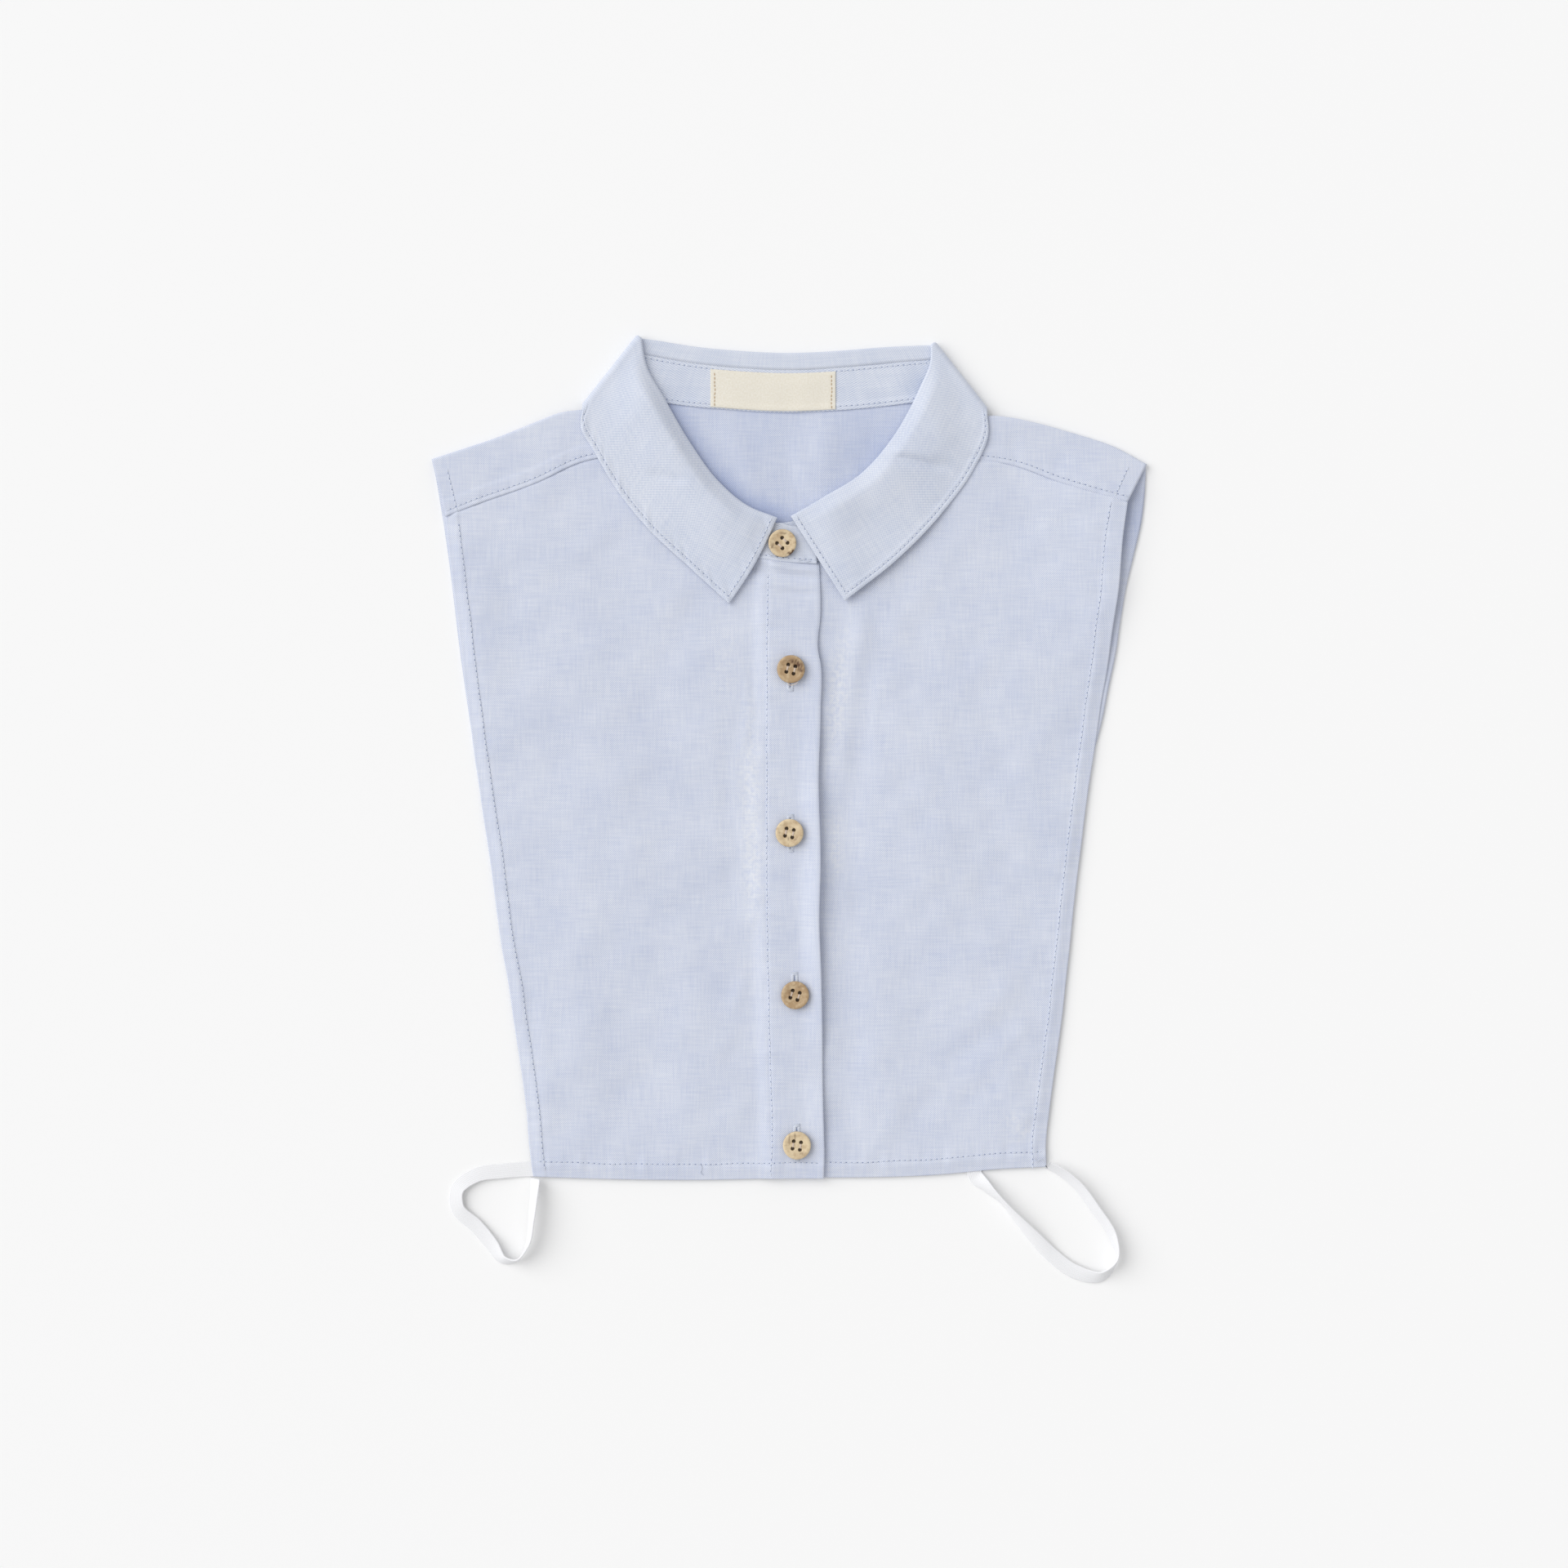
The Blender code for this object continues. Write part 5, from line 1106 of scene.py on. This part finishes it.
def addButton(number, material):
    # a profile turned about the middle: flat underneath, rounded side, a rim, a dished face with four pits
    x, y, base, turn, pale = button["places"][number]
    radius, tall = button["radius"], button["tall"]
    face = radius - 0.75
    under = radius - 0.63
    r = np.concatenate([[0.01, 1.5, 3.3, under - 0.4, under - 0.1], under + 0.63 * np.sin(np.linspace(0.25, 1.57, 5)),
                        np.full(2, radius), face + 0.75 * np.cos(np.linspace(0.15, 1.5, 8)),
                        np.linspace(face - 0.1, 3.1, 14), np.linspace(3.0, 0.9, 22), [0.6, 0.3, 0.01]])
    z = np.concatenate([np.full(5, 0.0), 0.63 - 0.63 * np.cos(np.linspace(0.25, 1.57, 5)), [0.9, 1.35],
                        tall - 0.75 + 0.75 * np.sin(np.linspace(0.15, 1.5, 8)), np.full(39, tall)])
    isFace = np.arange(len(r)) >= len(r) - 39
    z = np.where(isFace, tall - button["dish"] * (1.0 - smooth((r - 3.0) / 1.7)) - 0.05 * hump(r - 3.9, 0.3), z)
    angle = np.arange(button["sides"]) * 2 * math.pi / button["sides"]
    px, py = r[:, None] * np.cos(angle), r[:, None] * np.sin(angle)
    hole = np.hypot(np.abs(px) - button["hole"], np.abs(py) - button["hole"])
    pit = (1.0 - smooth((hole - button["holeRadius"] + 0.12) / 0.22)) * isFace[:, None]
    pz = z[:, None] - button["holeDepth"] * pit - 0.06 * hump(hole - button["holeRadius"], 0.3) * isFace[:, None]
    # painted shade down the side, deepest next to the table
    side = np.broadcast_to(0.55 * (1.0 - smooth((z - 0.4) / 1.3))[:, None] * ~isFace[:, None], px.shape)
    turned = math.radians(turn)
    wx = px * math.cos(turned) - py * math.sin(turned)
    wy = px * math.sin(turned) + py * math.cos(turned)
    stain = sum(strength * hump(wx - mx, rx) * hump(wy - my, ry) for which, mx, my, rx, ry, strength
                in button["marks"] if which == number)
    stain = np.clip(stain * (1.15 + 0.75 * mottled(wx * 2.2, wy - wx, 2.1, 60 + number)), 0, 1)
    points = np.stack([wx + x, wy + y, pz + base], axis=-1).reshape(-1, 3)
    index = np.arange(len(points)).reshape(px.shape)
    quads = gridQuads(np.concatenate([index, index[:, :1]], axis=1))
    half = button["sides"] // 2
    ends = []
    for row, order in ((0, -1), (-1, 1)):        # strips of quads close the disc at the middle
        line, facing = index[row], index[row][::-1]
        strip = np.stack([line[:half - 1], line[1:half], facing[1:half], facing[:half - 1]], axis=1)
        ends.append(strip[:, ::order])
    # painted shade: in the pits of the holes and down the side
    marks = {"stain": stain.ravel(), "shade": np.clip(np.maximum(0.85 * pit, side), 0, 1).ravel(),
             "pale": np.full(px.size, pale)}
    piece = addMesh(f"shellButton{number + 1}", points, np.concatenate([quads] + ends), material,
                    None, marks)
    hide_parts(f"button_{number + 1}")


def capsules(centres, along, up, half, width, height, bow):
    # stitches: six-sided rods with narrow ends, bowed upwards, one for each centre, as points and quads
    spots = np.array([-1.0, -0.86, -0.45, 0.0, 0.45, 0.86, 1.0])[:, None]
    sizes = np.array([0.3, 0.78, 1.0, 1.0, 1.0, 0.78, 0.3])[:, None]
    turns = np.arange(6) * math.pi / 3
    side = unit(np.cross(up, along))
    a = np.broadcast_to(spots * half, (7, 6))[None, ..., None]
    s = (sizes * np.cos(turns) * width / 2)[None, ..., None]
    u = (sizes * np.sin(turns) * height / 2 + bow * (1 - spots ** 2))[None, ..., None]
    points = centres[:, None, None] + along[:, None, None] * a + side[:, None, None] * s + up[:, None, None] * u
    index = np.arange(42).reshape(7, 6)
    around = gridQuads(np.concatenate([index, index[:, :1]], axis=1))
    caps = np.array([[1, 0, 5, 2], [2, 5, 4, 3]])
    one = np.concatenate([around, caps, caps[:, ::-1] + 36])
    quads = (one[None] + np.arange(len(centres))[:, None, None] * 42).reshape(-1, 4)
    return points.reshape(-1, 3), quads


def addButtonThread(material):
    # three strands on each side, from hole to hole
    points, quads, count = [], [], 0
    upwards = np.array([[0.0, 0.0, 1.0]])
    for x, y, base, turn, _ in button["places"]:
        ahead = np.array([-math.sin(math.radians(turn)), math.cos(math.radians(turn)), 0.0])
        right = np.array([ahead[1], -ahead[0], 0.0])
        for side in (-1, 1):
            for strand in (-1, 0, 1):
                centre = np.array([x, y, base + button["tall"] - 0.42]) + right * (
                    side * button["hole"] + strand * button["strand"] * 0.85)
                lean = unit(ahead + right * 0.05 * strand)
                p, q = capsules(centre[None], lean[None], upwards, button["strandHalf"],
                                button["strand"], button["strand"], 0.4 - 0.06 * abs(strand))
                points.append(p)
                quads.append(q + count)
                count += len(p)
    addMesh("buttonThread", np.concatenate(points), np.concatenate(quads), material)


shell = coconutShell()
for number in range(len(button["places"])):
    addButton(number, shell)
addButtonThread(buttonThread)
print("buttons")


# Flat knitted elastic: ribbed along its length, carried along each route
tape = {
    "width": 6.0,
    "thick": 0.8,
    "ribs": 8,
    "ribHeight": 0.11,
    "rings": 190,
    "left": [
        (-100.8, -146.7, 0.0, 0.5), (-105.2, -146.7, 0.0, 0.5), (-117.0, -147.4, 8.0, 0.5),
        (-128.5, -149.3, 15.0, 0.5), (-135.6, -155.0, 23.0, 0.5), (-135.4, -162.4, 19.0, 0.5),
        (-128.0, -169.6, 12.0, 0.5), (-121.6, -177.0, 24.0, 0.5), (-116.6, -183.4, 54.0, 2.6),
        (-111.4, -183.6, 80.0, 3.6), (-107.0, -177.6, 102.0, 4.6), (-105.0, -166.0, 116.0, 5.2),
        (-104.0, -156.0, 124.0, 4.0), (-103.6, -150.1, 132.0, 2.2),
    ],
    "right": [
        (75.0, -145.6, 0.0, 0.5), (75.6, -148.8, 0.0, 0.5), (80.2, -153.6, 44.0, 0.5), (87.0, -160.0, 72.0, 0.5),
        (93.2, -167.0, 56.0, 0.5), (99.6, -174.0, 32.0, 0.5), (107.0, -181.6, 10.0, 0.5),
        (117.0, -188.6, 16.0, 0.8), (127.0, -190.2, 46.0, 2.4), (133.2, -183.6, 86.0, 3.6),
        (131.8, -174.4, 120.0, 3.4), (124.6, -162.8, 130.0, 3.0), (115.8, -151.6, 128.0, 3.0),
        (109.0, -146.6, 124.0, 2.8), (105.2, -144.8, 122.0, 2.6),
    ],
}


def knittedElastic():
    # white, with the fine cross threads of the knit on top of the modelled ribs, and a little grey painted between them
    # as their shade
    material, tree, shader = newMaterial("knitted elastic", Roughness=0.85)
    shader.inputs["Sheen Weight"].default_value = 0.15
    flat = addNode(tree, "ShaderNodeUVMap", {"uv_map": "grain"})
    both = addNode(tree, "ShaderNodeSeparateXYZ", None, None, {0: flat.outputs[0]})
    waves = []
    for axis, pitch in ((0, 0.0009), (1, 0.00055)):
        turned = addNode(tree, "ShaderNodeMath", {"operation": "MULTIPLY"}, {1: 2 * math.pi / pitch},
                         {0: both.outputs[axis]})
        waves.append(addNode(tree, "ShaderNodeMath", {"operation": "SINE"}, None, {0: turned.outputs[0]}).outputs[0])
    knit = addNode(tree, "ShaderNodeMath", {"operation": "MULTIPLY"}, None, {0: waves[0], 1: waves[1]})
    share = addNode(tree, "ShaderNodeMath", {"operation": "MULTIPLY_ADD"}, {1: 0.3, 2: 0.6}, {0: knit.outputs[0]})
    tint = addNode(tree, "ShaderNodeMix", {"data_type": "RGBA"}, {"A": linear("e7e8eb"), "B": linear("f5f5f7")},
                   {"Factor": share.outputs[0]})
    tree.links.new(tint.outputs["Result"], shader.inputs["Base Color"])
    bump = addNode(tree, "ShaderNodeBump", None, {"Strength": 0.4, "Distance": 0.00008},
                   {"Height": knit.outputs[0]})
    tree.links.new(bump.outputs[0], shader.inputs["Normal"])
    return material


def addTape(side, material):
    # a flat ribbed section, tilted about its route, with its lowest edge on the table
    rings = curve(tape[side], np.linspace(0, 1, tape["rings"]))
    plan, tilt, least = rings[:, :2], np.radians(rings[:, 2]), rings[:, 3]
    ahead = unit(np.gradient(plan, axis=0))
    flat = np.stack([-ahead[:, 1], ahead[:, 0], np.zeros(len(rings))], axis=1)
    up = np.array([0.0, 0.0, 1.0])
    wide = flat * np.cos(tilt)[:, None] + up * np.sin(tilt)[:, None]
    thick = -flat * np.sin(tilt)[:, None] + up * np.cos(tilt)[:, None]
    half = tape["width"] / 2
    low = half * np.abs(np.sin(tilt)) + tape["thick"] / 2 * np.abs(np.cos(tilt))
    centre = raised(plan, np.maximum(low, least))
    # section: across, with ribs on both faces and rounded edges
    across = np.linspace(-1, 1, tape["ribs"] * 4 + 1) * (half - 0.25)
    rib = tape["thick"] / 2 - tape["ribHeight"] * 0.5 * (1 + np.cos(across * math.pi * tape["ribs"] / half))
    rounding = np.radians(np.linspace(90, -90, 7)[1:-1])
    ends = half - 0.25 + 0.25 * np.cos(rounding)
    a = np.concatenate([across, ends, across[::-1], -ends[::-1]])
    b = np.concatenate([rib, 0.3 * np.sin(rounding), -rib[::-1], 0.3 * np.sin(rounding)[::-1]])
    points = centre[:, None] + wide[:, None] * a[None, :, None] + thick[:, None] * b[None, :, None]
    index = np.arange(points.shape[0] * points.shape[1]).reshape(points.shape[:2])
    quads = [gridQuads(np.concatenate([index, index[:, :1]], axis=1))]
    n = len(across)
    for row, order in ((0, 1), (-1, -1)):
        line = index[row]
        strip = np.stack([line[:n - 1], line[1:n], line[n + 5:2 * n + 5][::-1][1:],
                          line[n + 5:2 * n + 5][::-1][:-1]], axis=1)
        left, right = line[2 * n + 5:], line[n:n + 5]
        sides = np.array([[line[0], line[2 * n + 4], left[0], left[4]], [left[4], left[0], left[1], left[3]],
                          [line[n - 1], right[0], right[4], line[n + 5]], [right[0], right[1], right[3], right[4]]])
        quads.append(np.concatenate([strip, sides])[:, ::order])
    along = np.concatenate([[0], np.cumsum(np.linalg.norm(np.diff(plan, axis=0), axis=1))])
    grain = np.stack(np.meshgrid(along, a, indexing="ij"), axis=-1).reshape(-1, 2)
    piece = addMesh(f"elastic{side.title()}", points.reshape(-1, 3), np.concatenate(quads), material,
                    grain)
    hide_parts(f"elastic_{side}")
    return piece


knit = knittedElastic()
addTape("left", knit)
addTape("right", knit)
print("elastic")


# Sewing: each row is a line on the cloth's upper skin with its pitch. Every stitch is a short bowed thread,
# and between them the shade in the needle's pricks is painted as small dark flat rods.
sewing = {
    "width": 0.42,
    "height": 0.3,
    "bow": 0.12,
    "share": 0.37,               # half a stitch's length, as a share of the pitch
    "turn": 0.09,
    "prick": (0.34, 0.44, 0.2),  # half length, width and height of a prick's painted shade
}


def spots(line, pitch, shift, draw):
    # points along a line at every pitch, with their directions and a level-up direction
    along = np.concatenate([[0], np.cumsum(np.linalg.norm(np.diff(line, axis=0), axis=1))])
    wanted = np.arange(pitch * (0.5 + shift), along[-1] - pitch * 0.4, pitch)
    wanted = wanted + draw.uniform(-0.07, 0.07, len(wanted)) * pitch
    here, ahead, behind = (np.stack([np.interp(wanted + more, along, line[:, i]) for i in range(3)], axis=1)
                           for more in (0, 0.4, -0.4))
    way = unit(ahead - behind)
    turn = draw.uniform(-1, 1, len(way)) * sewing["turn"]
    way = unit(way + np.stack([-way[:, 1] * turn, way[:, 0] * turn, np.zeros(len(way))], axis=1))
    upright = unit(np.array([0.0, 0.0, 1.0]) - way * way[:, 2:])
    return here, way, upright


def addSewing(name, rows, thread=sewingThread, paintPrickShade=True):
    draw = np.random.default_rng(len(rows) * 7 + len(name))
    threads, prickShades = [], []
    for line, pitch in rows:
        here, way, upright = spots(line, pitch, 0.0, draw)
        threads.append((here, way, upright, np.full(len(here), pitch)))
        prickShades.append(spots(line, pitch, 0.5, draw))
    for kind, group in (("Thread", threads), ("PrickShade", prickShades)):
        if kind == "PrickShade" and not paintPrickShade:
            continue
        here, way, upright = (np.concatenate([part[i] for part in group]) for i in range(3))
        if kind == "Thread":
            points, quads = capsules(here, way, upright, sewing["share"] * rows[0][1], sewing["width"],
                                     sewing["height"], sewing["bow"])
        else:
            half, width, height = sewing["prick"]
            points, quads = capsules(here, way, upright, half, width, height, 0.0)
        addMesh(name + kind, points, quads, thread if kind == "Thread" else needleShade)


def onGrid(grid, row, column):
    # points of a grid at fractional rows and columns, blended from the four corners
    row, column = np.broadcast_arrays(np.asarray(row, float), np.asarray(column, float))
    r = np.clip(row.astype(int), 0, grid.shape[0] - 2)
    c = np.clip(column.astype(int), 0, grid.shape[1] - 2)
    a, b = (row - r)[:, None], (column - c)[:, None]
    return ((1 - a) * (1 - b) * grid[r, c] + (1 - a) * b * grid[r, c + 1] + a * (1 - b) * grid[r + 1, c]
            + a * b * grid[r + 1, c + 1])


def onFront(x, y, left):
    return np.stack([x, y, frontTop(x, y, left)], axis=1)


def frontRows(left):
    # armhole, hem and, on the left, the placket
    y = np.linspace(-147.0, 117.8 if left else 126.0, 500)
    edge = edgeXLeft(y) if left else edgeXRight(y)
    shift = armholeHem(y, left) + 0.12 * uneven(y, 40.0, 71)
    rows = [(onFront(edge + shift if left else edge - shift, y, left), 2.32)]
    x = np.linspace(-103.5, 12.6, 400) if left else np.linspace(14.5, 103.0, 300)
    hem = (hemYLeft if left else hemYRight)(x)
    rows.append((onFront(x, hem + fronts["bottomHem"] + 0.2 * uneven(x, 45.0, 73), left), 2.18))
    if left:
        y = np.linspace(-149.6, 98.8, 500)
        rows.append((onFront(placketX(y) + 0.08 * uneven(y, 30.0, 75), y, True), 2.46))
    return rows


def flapRows(side):
    # the row above the forward seam and the armhole's row, on the folded-over strip
    flap, topZ, below = flapLines[side]
    grid = np.concatenate([flap, topZ[..., None]], axis=-1)
    columns = np.arange(0.6, flap.shape[1] - 1, 0.5)
    up = np.array([np.interp(-2.1, -below[:, int(c)], np.arange(len(below))) for c in columns])
    seam = onGrid(grid, up, columns)
    rows = np.arange(4.0, len(flap) - 1, 0.4)
    across = np.array([np.interp(5.0 if side == "left" else 5.6,
                                 np.abs(flap[int(r), :, 0] - flap[int(r), 0, 0]), np.arange(flap.shape[1]))
                       for r in rows])
    return [(seam, 2.3), (onGrid(grid, rows, across), 2.32)]


def leafRows(left):
    # round the edge of a collar leaf: down its front edge and along its outer edge
    n = ring["count"]
    order = np.arange(n) if left else len(ring["base"]) - 1 - np.arange(n)
    grid, down = fallSkin[order], fallDown[order]
    first = down.shape[1] - 57                   # columns of the outer leaf
    inset = collar["edgeStitch"]
    place = ring["place"][:n] * np.linalg.norm(np.diff(ring["edge"][order], axis=0), axis=1).sum()
    index = np.interp(inset, place, np.arange(n))
    stop = np.interp(down[0, -1] - inset, down[0, first:], np.arange(first, down.shape[1]))
    frontEdge = onGrid(grid, index, np.linspace(first - 1, stop, 120))
    lines = np.arange(index, n - 1, 0.5)
    columns = np.array([np.interp(down[int(i), -1] - inset, down[int(i), first:],
                                  np.arange(first, down.shape[1])) for i in lines])
    outerEdge = onGrid(grid, lines, columns)
    return [(np.concatenate([frontEdge, outerEdge[1:]]), 2.3)]


def standRows():
    # along the foot all round, and along the top where the inside of the back shows
    rows = []
    for flat, up in ((0.0, 1.0), (np.pi, -1.0)):
        chosen = standTurn == flat
        rho = layers["fold"] + 0.45 * up
        foot = standPoints(np.full((len(standTurn), 1), 1.6), rho)[:, 0]
        if flat == 0.0:
            rows += [(foot[chosen & standLeft], 2.3), (foot[chosen & ~standLeft], 2.3)]
        else:
            top = standPoints(standTall[:, None] - 1.4, rho)[:, 0]
            rows += [(foot[chosen], 2.3), (top[chosen], 2.3)]
    return rows


def labelRows():
    rows = []
    for x in (label["left"] + label["ends"], label["right"] - label["ends"]):
        y = neckBackY(x) + label["above"] + np.linspace(0.3, label["tall"] - 0.3, 60)
        x = x + 0.1 * uneven(y, 9.0, 77)
        rows.append((np.stack([x, y, labelTop(x, y) + 0.02], axis=1), 1.55))
    return rows


addSewing("sewnFrontLeft", frontRows(True))
addSewing("sewnFrontRight", frontRows(False))
addSewing("sewnBack", flapRows("left") + flapRows("right"))
addSewing("sewnFall", leafRows(True) + leafRows(False))
addSewing("sewnStand", standRows())
addSewing("sewnLabel", labelRows(), tanThread, False)
print("stitching")


# Buttonholes: two satin ridges round a slit, whose shade is painted as a dark rod, and bars at both ends
buttonholes = {
    "places": [(0.2, 48.3, 63.0), (0.3, -17.2, -1.9), (2.0, -81.0, -66.1), (2.9, -143.0, -127.9)],
    "half": 0.82,                # from the slit to the middle of a ridge
    "ridge": (0.62, 0.24),       # half width and height of a ridge
    "rib": 0.46,                 # pitch of the satin stitches
    "perRib": 5,
    "sides": 8,
}


def onPlacket(x, y):
    return frontTop(x, y, True)


def addButtonholes():
    points, quads, slitShades, slitShadeQuads = [], [], [], []
    count = slitShadeCount = 0
    for number, (x, low, high) in enumerate(buttonholes["places"]):
        half, (wide, tall) = buttonholes["half"], buttonholes["ridge"]
        straight = high - low - 2 * half - 2 * wide
        turn = np.pi * half
        total = 2 * straight + 2 * turn
        rings = int(total / buttonholes["rib"]) * buttonholes["perRib"]
        along = np.arange(rings) * total / rings
        # round the slit: up the right side, over the top, down the left side, under the foot
        part = np.searchsorted(np.cumsum([straight, turn, straight]), along, side="right")
        into = along - np.array([0, straight, straight + turn, 2 * straight + turn])[part]
        angle = np.where(part == 1, into / half, np.where(part == 2, np.pi, np.where(part == 3, np.pi + into / half, 0)))
        py = np.where(part == 0, into, np.where(part == 1, straight, np.where(part == 2, straight - into, 0.0)))
        centre = np.stack([x + half * np.cos(angle), low + half + wide + py + half * np.sin(angle)], axis=1)
        out = np.stack([np.cos(angle), np.sin(angle)], axis=1)
        phase = np.arange(rings) * 2 * np.pi / buttonholes["perRib"]
        size = 1.0 + 0.14 * np.cos(phase) + 0.07 * uneven(along, 2.1, 80 + number)
        round8 = np.arange(buttonholes["sides"]) * 2 * np.pi / buttonholes["sides"]
        plan = centre[:, None] + out[:, None] * (wide * size[:, None] * np.cos(round8))[..., None]
        z = onPlacket(centre[:, 0], centre[:, 1])[:, None] + tall * size[:, None] * np.sin(round8) + 0.05
        tube = raised(plan, z)
        index = np.arange(rings * buttonholes["sides"]).reshape(rings, -1)
        index = np.concatenate([index, index[:1]])
        index = np.concatenate([index, index[:, :1]], axis=1)
        points.append(tube.reshape(-1, 3))
        quads.append(gridQuads(index) + count)
        count += tube.shape[0] * tube.shape[1]
        # bars across both ends
        for end in (low + 0.55, high - 0.55):
            y = end + np.linspace(-0.55, 0.55, 5)
            centres = np.stack([np.full(5, x), y, onPlacket(np.full(5, x), y) + 0.16], axis=1)
            p, q = capsules(centres, np.tile([[1.0, 0.04, 0.0]], (5, 1)), np.tile([[0.0, 0.0, 1.0]], (5, 1)),
                            1.32, 0.3, 0.3, 0.1)
            points.append(p)
            quads.append(q + count)
            count += len(p)
        # painted shade of the slit: a dark flat rod along it
        gap = (low + high) / 2
        p, q = capsules(np.array([[x, gap, onPlacket(x, gap) + 0.02]]), np.array([[0.0, 1.0, 0.0]]),
                        np.array([[0.0, 0.0, 1.0]]), (high - low) / 2 - 1.6, 0.5, 0.3, 0.0)
        slitShades.append(p)
        slitShadeQuads.append(q + slitShadeCount)
        slitShadeCount += len(p)
    addMesh("buttonholeSatin", np.concatenate(points), np.concatenate(quads), sewingThread)
    addMesh("buttonholeSlitShade", np.concatenate(slitShades), np.concatenate(slitShadeQuads), needleShade)


addButtonholes()
print("buttonholes")


# Loose ends of thread: name, route as x, y and height over the table, thickness, and the thread
threadEnds = [
    ("tailDark", [(104.2, -144.9, 1.9), (105.4, -146.2, 1.3), (107.0, -146.7, 0.9), (108.4, -147.3, 0.5)], 0.34,
     darkThread),
    ("tailHem", [(-36.8, -143.9, 2.6), (-35.9, -146.0, 2.7), (-36.4, -147.8, 2.5), (-35.2, -149.0, 2.2)], 0.3,
     sewingThread),
    ("tailCorner", [(99.2, -141.9, 2.6), (101.0, -143.2, 2.5), (102.2, -142.4, 2.4), (104.0, -144.2, 2.0)], 0.32,
     sewingThread),
    ("tailStand", [(3.4, 101.2, 4.4), (5.0, 101.9, 4.6), (6.6, 101.0, 4.5), (8.6, 101.3, 4.3)], 0.3, sewingThread),
    ("tailFirstHole", [(-2.6, 102.3, 4.2), (-4.9, 103.6, 4.4), (-7.6, 103.1, 4.3), (-8.9, 104.4, 4.1)], 0.3,
     sewingThread),
    ("tailButton", [(-1.0, 51.6, 6.2), (0.2, 50.7, 6.0), (2.2, 51.1, 6.1), (3.4, 51.9, 6.3)], 0.3, buttonThread),
]


def addThreadEnd(name, route, thick, material):
    # a round thread along its route, thinner at its ends
    line = curve(route, np.linspace(0, 1, 26))
    ahead = unit(np.gradient(line, axis=0))
    side = unit(np.cross(np.array([0.0, 0.0, 1.0]), ahead))
    over = np.cross(ahead, side)
    turns = np.arange(6) * math.pi / 3
    size = thick / 2 * (0.35 + 0.65 * smooth(np.minimum(np.arange(26), 25 - np.arange(26)) / 2.5))
    points = (line[:, None] + side[:, None] * (size[:, None] * np.cos(turns))[..., None]
              + over[:, None] * (size[:, None] * np.sin(turns))[..., None])
    index = np.arange(26 * 6).reshape(26, 6)
    caps = np.array([[1, 0, 5, 2], [2, 5, 4, 3]])
    quads = np.concatenate([gridQuads(np.concatenate([index, index[:, :1]], axis=1)), caps, caps[:, ::-1] + 150])
    addMesh(name, points.reshape(-1, 3), quads, material)


for end in threadEnds:
    addThreadEnd(*end)
print("thread ends")


print("finished")
